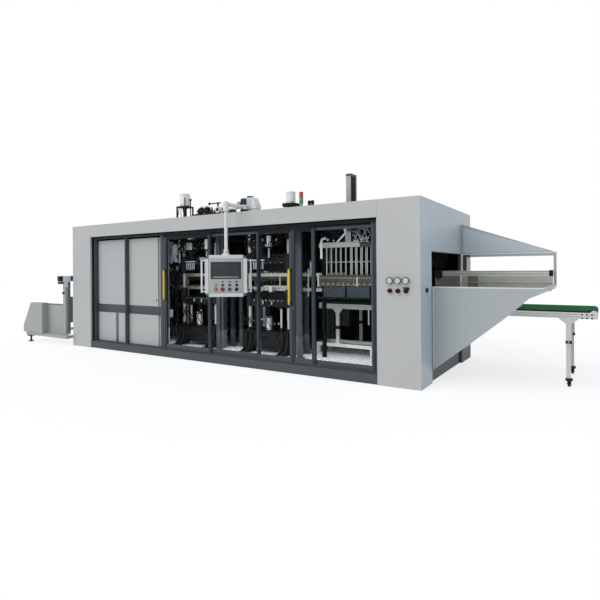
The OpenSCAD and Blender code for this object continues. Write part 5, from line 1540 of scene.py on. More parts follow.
@dataclass
class ControlPanel:
    """Swinging control panel: aluminium bars, screen, legends, switches and lamps on its face."""

    x: float = -3.2476
    y: float = -0.300
    yaw: float = 36.0
    size: float = 0.70
    bar: float = 0.06
    face: float = -0.070
    top: float = 1.94
    body: str = "control_box"

    def shape(self) -> Shape:
        """Returns an empty shape in the panel's own place."""
        turn = Matrix.Rotation(math.radians(self.yaw), 4, "Z")
        return Shape(Matrix.Translation((self.x, self.y, 0.0)) @ turn)

    def build(self) -> None:
        """Builds everything on the panel."""
        dress(PALE_COAT, "control_box", "swing_arm")
        for finish, node in ((AMBER_PLASTIC, "amber_button"), (RED_PLASTIC, "stop_button"),
                             (GREEN_PLASTIC, "start_button"), (BLACK_PLASTIC, "black_button")):
            dress(finish, node)
        self.frame_bars()
        self.screen()
        self.controls()
        self.arm()

    def frame_bars(self) -> None:
        """Adds the grooves of the bars, the corner pieces and the back plate's screws."""
        half, inner, f = self.size / 2, self.size / 2 - self.bar, self.face
        grooves, corners, screws, face = self.shape(), self.shape(), self.shape(), self.shape()
        low, high = self.top - self.size, self.top - self.bar
        face.block((-inner + 0.006, f - 0.0012, low + self.bar + 0.006),
                   (inner - 0.006, f + 0.001, high - 0.006), 0.0004)
        face.made("panel_face", PANEL_COAT, self.body, "arm_grey")
        gaps = self.shape()
        for a, b in (((-inner, low + self.bar), (-inner + 0.006, high)),
                     ((inner - 0.006, low + self.bar), (inner, high)),
                     ((-inner, low + self.bar), (inner, low + self.bar + 0.006)),
                     ((-inner, high - 0.006), (inner, high))):
            gaps.block((a[0], f - 0.0010, a[1]), (b[0], f + 0.001, b[1]), 0.0003)
        gaps.made("panel_gaps", BLACK_RUBBER, self.body, "black_part")
        for z in (high, low):
            for dz in (0.018, 0.038):
                grooves.block((-inner + 0.006, f - 0.0026, z + dz),
                              (inner - 0.006, f - 0.0015, z + dz + 0.004), 0.0)
        for x in (-half, inner):
            for dx in (0.018, 0.038):
                grooves.block((x + dx, f - 0.0026, low + self.bar + 0.004),
                              (x + dx + 0.004, f - 0.0015, high - 0.004), 0.0)
        for side in SIDES:
            for z, up in ((high, 1), (low + self.bar, -1)):
                a, b = side * (inner - 0.003), side * (half - 0.004)
                outline = [(a, z), (b, z)]
                outline += [(a + (b - a) * math.cos(t), z + up * (self.bar - 0.004) * math.sin(t))
                            for t in (math.pi * k / 12 for k in range(1, 7))]
                corners.prism(outline, f + 0.004, -f - 0.004)
                screws.screw((side * (inner + 0.022), f + 0.004, z + up * 0.022), FRONT, 0.005)
        for x in (-0.24, 0.24):
            for z in (self.top - 0.10, low + 0.10, self.top - self.size / 2):
                screws.screw((x, -f, z), BACK, 0.006)
        for k in range(8):
            corners.block((-0.16, -f - 0.001, self.top - 0.30 - 0.022 * k),
                          (0.16, -f + 0.001, self.top - 0.292 - 0.022 * k), 0.0005)
        grooves.made("panel_grooves", FEED_COAT, self.body, "arm_grey")
        corners.made("panel_corners", MACHINE_COAT, self.body, "machine_grey")
        screws.made("panel_corner_screws", ZINC, self.body, "chrome_rod")

    def screen(self) -> None:
        """Adds the screen with its bezel."""
        f = self.face
        bezel, glass, line = self.shape(), self.shape(), self.shape()
        bezel.block((-0.253, f - 0.006, 1.538), (0.253, f + 0.002, 1.826), 0.003)
        glass.block((-0.205, f - 0.0075, 1.596), (0.205, f - 0.004, 1.788), 0.001)
        line.block((-0.212, f - 0.0072, 1.562), (0.212, f - 0.005, 1.578), 0.001)
        bezel.made("screen_frame", BEZEL, self.body, "black_part")
        glass.made("screen_glass", SCREEN, self.body, "black_part")
        line.made("screen_key_strip", FEED_COAT, self.body, "arm_grey")

    def controls(self) -> None:
        """Adds the small lamps, selectors, bare legend plates and button collars."""
        f, turn = self.face, FRONT
        columns = [(i - 1.5) * 0.116 + 0.003 for i in range(4)]
        collars, dark = self.shape(), self.shape()
        for i, x in enumerate(columns):
            r = 0.0245 + 0.004 * (i == 1)
            collars.turned((x, f, 1.363), turn, [(r + 0.007, 0.0), (r + 0.007, 0.003), (r, 0.006)], 28)
            collars.turned((x, f, 1.435), turn, [(0.024, 0.0), (0.024, 0.003), (0.018, 0.006)], 24)
        tints = (FEED_COAT, RED_PLASTIC, GREEN_PLASTIC, BLACK_PLASTIC)
        for (x, finish, label) in zip(columns, tints, ("pale", "red", "green", "black")):
            lamp = self.shape()
            lamp.turned((x, f - 0.0055, 1.435), turn,
                        [(0.0175, 0.0), (0.0175, 0.006), (0.013, 0.010), (0.004, 0.0115)], 24)
            if label == "black":
                lamp.block((x - 0.004, f - 0.026, 1.421), (x + 0.004, f - 0.014, 1.449), 0.002)
            lamp.made(f"{label}_lamp", finish, self.body, "button_black" if label == "black" else "arm_grey")
        for x, wide in ((columns[1], 0.040), (columns[2], 0.044), (columns[3], 0.058)):
            dark.block((x - wide / 2, f - 0.0015, 1.482), (x + wide / 2, f + 0.0005, 1.500), 0.0005)
        dark.made("panel_legends", BEZEL, self.body, "black_part")
        tag = self.shape()
        tag.block((columns[0] - 0.008, f - 0.0015, 1.474), (columns[0] + 0.008, f + 0.0005, 1.506), 0.0005)
        tag.made("panel_tag", AMBER_PLASTIC, self.body, "button_amber")
        collars.made("button_collars", BLACK_PLASTIC, self.body, "button_black")

    def arm(self) -> None:
        """Adds the arm's clamp bolts and seams, and the bolts of its bearing."""
        dress(BLACK_IRON, "arm_bearing")
        dark = Shape()
        for y in (-0.235, 0.115):
            dark.rod((self.x, y, 2.80), (self.x, y + 0.004, 2.80), 0.0355, 36)
        for z in (2.68, 1.991):
            dark.rod((self.x, self.y, z), (self.x, self.y, z + 0.004), 0.0455 if z < 2.5 else 0.0512, 36)
        for dx, dy in circle(4, 0.052, 45):
            dark.screw((self.x + dx, self.y + dy, 1.9905), UP, 0.005)
        dark.made("arm_seams", DARK_STEEL, "swing_arm", "machine_grey")
        bolts = Shape()
        for dx, dy in circle(6, 0.073, 15):
            bolts.screw((self.x + dx, 0.180 + dy, 2.714), UP, 0.007)
        bolts.made("bearing_bolts", ZINC, slot="machine_grey")


@dataclass
class RoofUnits:
    """Units on the roof: canister bands, valves and their hoses, gear motor ribs and the tower light."""

    y: float = 0.300
    roof: float = 2.70

    def build(self) -> None:
        """Builds and dresses all roof units."""
        dress(ENAMEL, "roof_canisters")
        dress(BLACK_IRON, "canister_mounts", "valve_block")
        dress(BLACK_PLASTIC, "valve_lever")
        dress(PALE_COAT, "roof_gearmotor")
        dress(FEED_COAT, "tower_light")
        dress(MACHINE_COAT, "vertical_axis")
        self.canisters()
        self.tower()
        self.valves()
        self.gearmotor()
        self.lift()

    def canisters(self) -> None:
        """Adds bands, lids and hoses to both canisters, and a capped post beside them."""
        bands, dark = shapes(2)
        for x, low, high, r in ((-4.8252, 2.956, 3.190, 0.100), (-2.3269, 2.811, 3.002, 0.080)):
            for z in (low + 0.015, high - 0.035):
                bands.turned((x, self.y, z), UP,
                             [(r - 0.002, 0.0), (r + 0.003, 0.002), (r + 0.003, 0.016), (r - 0.002, 0.018)],
                             40)
            bands.turned((x, self.y, high - 0.004), UP, [(r * 0.9, 0.0), (r * 0.9, 0.003), (r * 0.3, 0.004)],
                         40)
            for k in range(3):
                dark.hose([(x + 0.03 * (k - 1), self.y - r * 0.8, low - 0.01),
                           (x + 0.05 * (k - 1), self.y - r * 1.05, low - 0.06),
                           (x + 0.09 * (k - 1), self.y - r, self.roof + 0.03),
                           (x + 0.12 * (k - 1), self.y - 0.03, self.roof + 0.008)], 0.007)
        dark.rod((-4.674, self.y, self.roof), (-4.674, self.y, self.roof + 0.365), 0.011, 14)
        dark.rod((-4.674, self.y, self.roof + 0.345), (-4.674, self.y, self.roof + 0.385), 0.022, 16)
        bands.made("canister_bands", STEEL, slot="chrome_rod")
        dark.made("canister_fittings", BLACK_PLASTIC)

    def tower(self) -> None:
        """Adds the red and green shells of the tower light and its cap."""
        x, z = -2.1188, self.roof
        for label, finish, low in (("green", LAMP_GREEN, 0.092), ("red", LAMP_RED, 0.184)):
            shell = Shape().turned((x, self.y, z + low), UP,
                                   [(0.033, 0.0), (0.0345, 0.004), (0.0345, 0.082), (0.033, 0.086)], 36)
            shell.made(f"lamp_{label}_shell", finish, slot="lamp_body")
        cap = Shape()
        cap.turned((x, self.y, z + 0.268), UP,
                   [(0.0345, 0.0), (0.0345, 0.006), (0.028, 0.014), (0.010, 0.017)], 36)
        cap.made("lamp_cap", BLACK_PLASTIC)

    def valves(self) -> None:
        """Adds solenoids, knobs and hoses to the valve block and the ball valve."""
        rng = random.Random(47)
        bright, dark, hoses = shapes(3)
        x0 = -4.3356
        for i in range(4):
            x = x0 - 0.108 + 0.070 * i
            top = self.roof + 0.169 + 0.024 * (i % 2)
            bright.turned((x, self.y - 0.005, top - 0.002), UP,
                          [(0.018, 0.0), (0.018, 0.012), (0.010, 0.016), (0.010, 0.026)], 24)
            bright.turned((x, self.y - 0.074, self.roof + 0.045), FRONT,
                          [(0.014, 0.0), (0.014, 0.012), (0.008, 0.016)], 20)
            dark.block((x - 0.026, self.y - 0.040, self.roof + 0.10),
                       (x + 0.026, self.y - 0.028, self.roof + 0.145), 0.004)
            hoses.hose([(x, self.y - 0.088, self.roof + 0.045), (x - 0.01, self.y - 0.13, self.roof + 0.05),
                        (x - 0.05, self.y - 0.15, self.roof + 0.025),
                        (x - 0.12, self.y - 0.12, self.roof + 0.012)], 0.009)
        for i in range(6):
            x = x0 - 0.11 + 0.044 * i
            bright.rod((x, self.y + 0.038, self.roof + 0.189),
                       (x, self.y + 0.038, self.roof + 0.205 + 0.02 * (i % 2)), 0.010, 16)
        fittings(dark, rng, (x0 + 0.15, self.y - 0.04, self.roof + 0.03),
                 (-4.05, self.y + 0.04, self.roof + 0.10), 10, 0.06)
        loops(hoses, rng, (x0 + 0.10, self.y - 0.05, self.roof + 0.03),
              (-4.02, self.y + 0.03, self.roof + 0.17), 5, 0.009)
        lever_x = -3.9616
        for side in SIDES:
            bright.turned((lever_x + side * 0.061, self.y, self.roof + 0.090), RIGHT * side,
                          [(0.040, 0.0), (0.040, 0.014), (0.026, 0.018), (0.026, 0.045)], 6)
        for x, low, high, r in ((-3.93, 0.085, 0.150, 0.060), (-3.80, 0.095, 0.140, 0.046),
                                (-3.70, 0.06, 0.10, 0.040)):
            bright.rod((x, self.y - 0.055, self.roof + (low + high) / 2),
                       (x, self.y + 0.055, self.roof + (low + high) / 2), r, 24)
            dark.rod((x, self.y - 0.060, self.roof + (low + high) / 2),
                     (x, self.y - 0.050, self.roof + (low + high) / 2), r * 0.55, 16)
            dark.block((x - 0.022, self.y - 0.03, self.roof + 0.002),
                       (x + 0.022, self.y + 0.03, self.roof + low), 0.003)
        bright.rod((-3.86, self.y, self.roof + 0.115), (-3.50, self.y, self.roof + 0.115), 0.024, 20)
        for x in (-3.76, -3.62, -3.56):
            dark.block((x - 0.030, self.y - 0.035, self.roof + 0.002),
                       (x + 0.022, self.y + 0.035, self.roof + 0.086), 0.004)
        bright.made("valve_fittings", STEEL, slot="chrome_rod")
        dark.made("valve_solenoids", BLACK_PLASTIC)
        hoses.made("valve_hoses", HOSE_RUBBER)
        grip = Shape()
        grip.block((lever_x - 0.205, self.y - 0.0145, self.roof + 0.2385),
                   (lever_x - 0.06, self.y + 0.0145, self.roof + 0.2575), 0.005)
        grip.made("lever_sleeve", BLACK_RUBBER, "valve_lever", "black_part")

    def gearmotor(self) -> None:
        """Adds cooling ribs, a terminal box and bolts to the roof's gear motor."""
        x, y = -3.2, 0.25
        ribs, dark = shapes(2)
        for k in range(7):
            ribs.block((x - 0.085 + 0.024 * k, y - 0.004, self.roof + 0.09),
                       (x - 0.079 + 0.024 * k, y + 0.01, self.roof + 0.26), 0.001)
        for dx in (-0.148, -0.102):
            for dz in (0.095, 0.265):
                dark.screw((x + dx, y, self.roof + dz), FRONT, 0.007)
        for dx in (-0.13, 0.13):
            dark.screw((x + dx, y + 0.05, self.roof + 0.076), UP, 0.008)
        dark.block((x - 0.06, y + 0.03, self.roof + 0.274), (x + 0.03, y + 0.12, self.roof + 0.31), 0.006)
        dark.block((x - 0.170, y - 0.012, self.roof + 0.082), (x - 0.045, y + 0.004, self.roof + 0.262),
                   0.003)
        dark.block((x - 0.178, y, self.roof + 0.085), (x - 0.168, y + 0.20, self.roof + 0.255), 0.003)
        ribs.turned((x - 0.178, y + 0.05, self.roof + 0.165), LEFT,
                    [(0.070, 0.0), (0.070, 0.016), (0.050, 0.020), (0.050, 0.060), (0.066, 0.064),
                     (0.066, 0.080), (0.030, 0.084)], 32)
        ribs.made("gearmotor_ribs", FEED_COAT, slot="motor_grey")
        dark.made("gearmotor_box", BLACK_PLASTIC, slot="motor_grey")

    def lift(self) -> None:
        """Adds the profile grooves and base plate of the vertical axis, a light skin on its front and a
        near-black skin of painted shade on its side.
        """
        x, z0, z1 = -1.2416, 2.708, 3.152
        grooves = Shape()
        for dy in (0.05, 0.10, 0.15):
            grooves.block((x + 0.0415, self.y + dy, z0), (x + 0.0428, self.y + dy + 0.01, z1), 0.0)
        grooves.block((x - 0.075, self.y - 0.03, 2.7005), (x + 0.075, self.y + 0.237, 2.708), 0.002)
        grooves.made("lift_grooves", BLACK_PLASTIC, slot="machine_grey")
        front = Shape().block((x - 0.0415, self.y - 0.0006, z0), (x + 0.0415, self.y + 0.0008, z1), 0.0003)
        front.made("lift_front", FEED_COAT, slot="motor_grey")
        # a near-black skin on the axis's right side: painted shade
        side = Shape().block((x + 0.0412, self.y + 0.012, z0), (x + 0.0426, self.y + 0.150, z1), 0.0003)
        side.made("lift_side_shade", LINER, slot="machine_grey")


@dataclass
class Gauges:
    """Pressure gauges and regulators on the right end panel."""

    x: float = -0.443
    step: float = 0.119
    z: float = 1.520
    knob_z: float = 1.374
    front: float = -0.034
    radius: float = 0.050
    sides: int = 48

    def build(self) -> None:
        """Builds the rims, faces, ticks, needles and knob details."""
        dress(FEED_COAT, "gauges")
        turn = FRONT
        rims, faces, marks, glass, bases = shapes(5)
        for i in range(3):
            x, r = self.x + i * self.step, self.radius
            for k in range(self.sides):
                a, b = (2 * math.pi * n / self.sides for n in (k, k + 1))
                points = [(x + q * math.cos(t), self.z + q * math.sin(t)) for q, t in
                          ((r - 0.0008, a), (r - 0.0008, b), (r - 0.0072, b), (r - 0.0072, a))]
                rims.prism(points, self.front - 0.008, self.front + 0.012)
            faces.turned((x, self.front - 0.0002, self.z), turn, [(r - 0.006, 0.0), (r - 0.006, 0.001)],
                         self.sides)
            glass.turned((x, self.front - 0.0055, self.z), turn, [(r - 0.007, 0.0), (r - 0.007, 0.001)],
                         self.sides)
            for k in range(25):
                a = math.radians(225 - 270 * k / 24)
                inner = r * (0.62 if k % 4 == 0 else 0.72)
                across = 0.0011 if k % 4 == 0 else 0.0006
                c, s = math.cos(a), math.sin(a)
                marks.prism([(x + inner * c - across * s, self.z + inner * s + across * c),
                             (x + inner * c + across * s, self.z + inner * s - across * c),
                             (x + r * 0.80 * c + across * s, self.z + r * 0.80 * s - across * c),
                             (x + r * 0.80 * c - across * s, self.z + r * 0.80 * s + across * c)],
                            self.front - 0.0018, self.front - 0.001)
            a = math.radians((150, 120, 200)[i])
            c, s = math.cos(a), math.sin(a)
            marks.prism([(x - 0.012 * c - 0.0016 * s, self.z - 0.012 * s + 0.0016 * c),
                         (x - 0.012 * c + 0.0016 * s, self.z - 0.012 * s - 0.0016 * c),
                         (x + r * 0.66 * c, self.z + r * 0.66 * s)],
                        self.front - 0.003, self.front - 0.0022)
            marks.rod((x, self.front - 0.004, self.z), (x, self.front - 0.001, self.z), 0.004, 16)
            body = f"regulator_knob_{i + 1}"
            dress(KNOB_RED, body)
            cap = Shape()
            cap.turned((x, -0.0455, self.knob_z), turn,
                       [(0.0275, 0.0), (0.0275, 0.006), (0.022, 0.009), (0.010, 0.010)], 36)
            for dx, dz in circle(18, 0.0288):
                cap.rod((x + dx, -0.042, self.knob_z + dz), (x + dx, -0.008, self.knob_z + dz), 0.0022, 8)
            cap.block((x - 0.002, -0.0565, self.knob_z), (x + 0.002, -0.0545, self.knob_z + 0.020), 0.0005)
            cap.made(f"{body}_cap", KNOB_RED, body, "knob_red")
            bases.turned((x, -0.0003, self.knob_z), turn, [(0.032, 0.0), (0.032, 0.0006)], 36)
        x = self.x + 2 * self.step
        bases.block((x - 0.045, -0.030, self.knob_z + 0.034), (x + 0.045, -0.0003, self.knob_z + 0.052),
                    0.004)
        bases.block((x + 0.030, -0.024, self.knob_z + 0.02), (x + 0.044, -0.0003, self.knob_z + 0.05), 0.004)
        rims.made("gauge_rims", HEADER_SHADE_AND_RIM_COAT, slot="frame_dark")
        faces.made("gauge_faces", DIAL_WHITE, slot="canister_white")
        marks.made("gauge_marks", BLACK_PLASTIC)
        glass.made("gauge_glass", DIAL_GLASS, slot="clear_pane")
        bases.made("regulator_bases", BLACK_PLASTIC)


@dataclass
class Hood:
    """Discharge hood and the linear axis in it: skins, bolts, slots, and the sheets behind, in bright and
    darker blocks of painted reflection and shade.
    """

    end_x: float = 1.50
    low_z: float = 1.38
    axis: tuple[float, float] = (1.558, 1.644)
    axis_y: float = 2.199

    def build(self) -> None:
        """Builds and dresses the hood."""
        dress(HOOD_COAT, "hood_panels", "hood_frame")
        dress(AXIS_BAR, "linear_axis")
        dress(BLACK_PLASTIC, "axis_carriage")
        bolts, dark, bright = shapes(3)
        for k in range(13):
            bolts.screw((0.10 + 0.11 * k, 0.515, 1.402), FRONT, 0.006)
        for k in range(9):
            bolts.screw((0.028, 0.515, 0.26 + 0.13 * k), FRONT, 0.006)
        for k in range(3):
            z = self.axis[0] + 0.010 + 0.026 * k
            dark.block((-0.44, self.axis_y - 0.0006, z + 0.004),
                       (self.end_x - 0.05, self.axis_y + 0.001, z + 0.011), 0.0)
        dark.block((self.end_x - 0.100, self.axis_y - 0.004, self.axis[0] - 0.006),
                   (self.end_x - 0.044, self.axis_y + 0.063, self.axis[1] + 0.006), 0.002)
        # The stainless sheet behind is drawn in bright and darker blocks: painted reflections along it, and
        # painted shade on the part inside the cabinet.
        bright.block((0.30, self.axis_y + 0.0008, self.low_z - 0.030),
                     (self.end_x - 0.05, self.axis_y + 0.0016, self.axis[0] - 0.001), 0.0)
        bright.block((0.0, self.axis_y + 0.0008, self.low_z - 0.030),
                     (0.13, self.axis_y + 0.0016, self.axis[0] - 0.001), 0.0)
        bright.block((-0.04, self.axis_y - 0.012, self.low_z + 0.058),
                     (self.end_x - 0.05, self.axis_y - 0.001, self.low_z + 0.072), 0.001)
        shaded = Shape()
        shaded.block((0.13, self.axis_y + 0.0008, self.low_z - 0.030),
                     (0.30, self.axis_y + 0.0016, self.axis[0] - 0.001), 0.0)
        shaded.block((-0.445, self.axis_y + 0.0008, self.low_z - 0.030),
                     (0.0, self.axis_y + 0.0016, self.axis[0] - 0.001), 0.0)
        shaded.made("hood_shaded_sheets", SHEET_SHADE, slot="roller_steel")
        # Pale strips along the hood's folded edges: real flanges, painted paler than the hood as the
        # highlight on their folds.
        flange = Shape()
        flange.block((-0.004, self.axis_y + 0.062, self.low_z + 0.02), (0.034, self.axis_y + 0.064, 1.94),
                     0.0005)
        flange.block((-0.004, self.axis_y - 0.003, self.low_z - 0.030),
                     (0.034, self.axis_y - 0.001, self.axis[0] - 0.001), 0.0005)
        flange.block((0.034, self.axis_y + 0.0615, 1.925), (self.end_x - 0.02, self.axis_y + 0.0645, 1.945),
                     0.0005)
        flange.block((0.02, 0.5125, self.low_z + 0.024), (self.end_x - 0.02, 0.5148, self.low_z + 0.0395),
                     0.0005)
        flange.block((0.016, 0.5125, 0.26), (0.026, 0.5148, self.low_z + 0.02), 0.0005)
        # the rear triangle gets a lighter skin: painted light over the end wall's shade
        back = Shape().prism([(0.045, 1.95), (1.36, 1.95), (1.36, 1.985), (0.045, 2.40)],
                             self.axis_y + 0.0645, self.axis_y + 0.0655)
        back.made("hood_back_painted_light_skin", HOOD_BACK_PAINTED_LIGHT, slot="side_grey")
        flange.made("hood_flange_highlights", PALE_COAT, slot="side_grey")
        plate = Shape().block((0.034, self.axis_y + 0.0618, self.axis[1] + 0.002),
                              (0.163, self.axis_y + 0.0638, 1.925), 0.0005)
        plate.made("hood_inner_plate", MACHINE_COAT, slot="side_grey")
        bolts.made("hood_bolts", ZINC, slot="side_grey")
        dark.made("axis_slots", BLACK_RUBBER)
        bright.made("hood_bright_sheets", STAINLESS, slot="roller_steel")
        self.gate()

    def gate(self) -> None:
        """Adds the dark frame of the opening in the end wall and what hangs in it."""
        frame_bars, cables = shapes(2)
        for low, high in (((-0.060, 0.508, 0.20), (0.003, 0.516, 1.94)),
                          ((-0.060, 2.281, 0.20), (0.003, 2.289, 1.94)),
                          ((-0.060, 0.516, 1.934), (0.003, 2.281, 1.944))):
            frame_bars.block(low, high)
        for k in range(9):
            y = 0.80 + 0.15 * k
            cables.hose([(-0.20, y, 1.98), (-0.18, y + 0.02, 1.90), (-0.22, y + 0.05, 1.80),
                         (-0.26, y + 0.04, 1.70)], 0.012)
        cables.block((-0.30, 0.60, 1.955), (-0.16, 2.25, 2.03), 0.006)
        gland = Shape().turned((-0.004, 0.262, 1.378), RIGHT, [(0.038, 0.0), (0.038, 0.010), (0.028, 0.026)],
                               28)
        gland.made("cable_gland", BLACK_PLASTIC)
        frame_bars.made("gate_frame", DARK_COAT, slot="frame_dark")
        cables.made("gate_cables", BLACK_RUBBER)


@dataclass
class Conveyor:
    """Belt conveyor: rail slots, bolts, end plates, clamps and the belt's drive."""

    x0: float = -2.33
    x1: float = 2.07
    y0: float = 1.238
    y1: float = 2.278
    rail: tuple[float, float] = (0.971, 1.056)
    leg_x: float = 1.715
    leg_in_x: float = -1.948

    def build(self) -> None:
        """Builds and dresses the conveyor."""
        dress(PROFILE, "conveyor_frame", "conveyor_legs")
        dress(BELT, "conveyor_belt")
        dress(STEEL, "drive_roller", "idle_roller")
        dress(BLACK_PLASTIC, "castor_fork_near", "castor_fork_far")
        dress(BLACK_RUBBER, "castor_wheel_near", "castor_wheel_far")
        slots, bolts, plates, heads = shapes(4)
        low = self.rail[0]
        for y, out in ((self.y0, -1), (self.y1, 1)):
            for z in (low + 0.024, low + 0.056):
                slots.block((self.x0 + 0.10, y - 0.0008, z), (self.x1 - 0.22, y + 0.0008, z + 0.004), 0.0)
            side = BACK * out
            for x in (self.x0 + 0.03, self.x0 + 0.07):
                bolts.screw((x, y, low + 0.018), side, 0.006)
            for x in (self.x1 - 0.191, self.x1 - 0.132, self.x1 - 0.072):
                for z in (low + 0.010, low + 0.059):
                    heads.screw((x, y + out * 0.0012, z), side, 0.009)
            for x, reach in ((self.leg_x, 0.095), (self.leg_in_x, 0.068)):
                for dx in (-reach, -reach / 2, reach / 2, reach):
                    bolts.screw((x + dx, y, low - 0.008), side, 0.005)
        for y in (self.y0, self.y1 - 0.050):
            plates.block((self.leg_x - 0.040, y - 0.004, 0.615), (self.leg_x + 0.040, y + 0.054, 0.655),
                         0.003)
            bolts.screw((self.leg_x, y - 0.004, 0.635), FRONT, 0.008)
            bolts.screw((self.leg_x, y + 0.003, 0.56), FRONT, 0.006)
            plates.block((self.leg_in_x - 0.038, y - 0.003, 0.60), (self.leg_in_x + 0.032, y + 0.053, 0.66),
                         0.003)
        guards = Shape()
        for y, out in ((self.y0, 1), (self.y1, -1)):
            near, far = sorted((y + out * 0.001, y + out * 0.006))
            guards.block((self.x0 + 0.02, near, self.rail[1] - 0.004),
                         (self.x1 - 0.02, far, self.rail[1] + 0.001), 0.0005)
            near, far = sorted((y - out * 0.0012, y + out * 0.040))
            guards.block((self.x1 - 0.215, near, low + 0.002), (self.x1 - 0.004, far, low + 0.083), 0.002)
        guards.made("conveyor_guards", PROFILE, slot="axis_alu")
        # dark green strips at the belt's edges: the belt's side, with painted shade of the gap between belt
        # and rail
        edges = Shape()
        for y, out in ((self.y0, 1), (self.y1, -1)):
            near, far = sorted((y + out * 0.0355, y + out * 0.0388))
            edges.block((self.x0 + 0.10, near, self.rail[1] + 0.0002), (self.x1 - 0.090, far, 1.0815), 0.0005)
        edges.made("belt_edge_shade_strips", BELT_EDGE_SHADE)
        slots.made("rail_slots", DARK_STEEL)
        heads.made("end_plate_bolts", DARK_STEEL)
        bolts.made("conveyor_bolts", ZINC, slot="axis_alu")
        plates.made("leg_clamps", BLACK_PLASTIC)
        self.drive()
        self.castors()

    def drive(self) -> None:
        """Adds the drive motor behind the inner leg, the cover of its chain, and a sensor post."""
        dark, thin = shapes(2)
        dark.rod((-1.84, 1.36, 0.78), (-1.84, 1.62, 0.78), 0.075, 32)
        for k in range(6):
            dark.rod((-1.84, 1.40 + 0.03 * k, 0.78), (-1.84, 1.408 + 0.03 * k, 0.78), 0.083, 32)
        dark.block((-1.93, 1.30, 0.66), (-1.75, 1.36, 0.95), 0.01)
        dark.block((-1.88, 1.42, 0.855), (-1.80, 1.52, 0.91), 0.006)
        thin.rod((-1.36, 1.30, 0.70), (-1.36, 1.30, 0.972), 0.012, 16)
        dark.made("belt_drive", BLACK_PLASTIC)
        thin.made("sensor_post", WARM_RAIL, slot="axis_alu")

    def castors(self) -> None:
        """Adds the hubs and axle nuts of the castors; each rides on its own wheel or fork."""
        for label, y in (("near", self.y0), ("far", self.y1 - 0.050)):
            cy, z = y + 0.055, 0.038
            hub = Shape()
            for side in SIDES:
                hub.turned((self.leg_x + side * 0.017, cy, z), RIGHT * side, [(0.022, 0.0), (0.020, 0.0015)],
                           28)
            hub.made(f"castor_hub_{label}", STEEL, f"castor_wheel_{label}", "castor_black")
            nuts = Shape()
            for side in SIDES:
                nuts.screw((self.leg_x + side * 0.024, cy, z), RIGHT * side, 0.007)
            nuts.made(f"castor_nuts_{label}", ZINC, f"castor_fork_{label}", "castor_black")


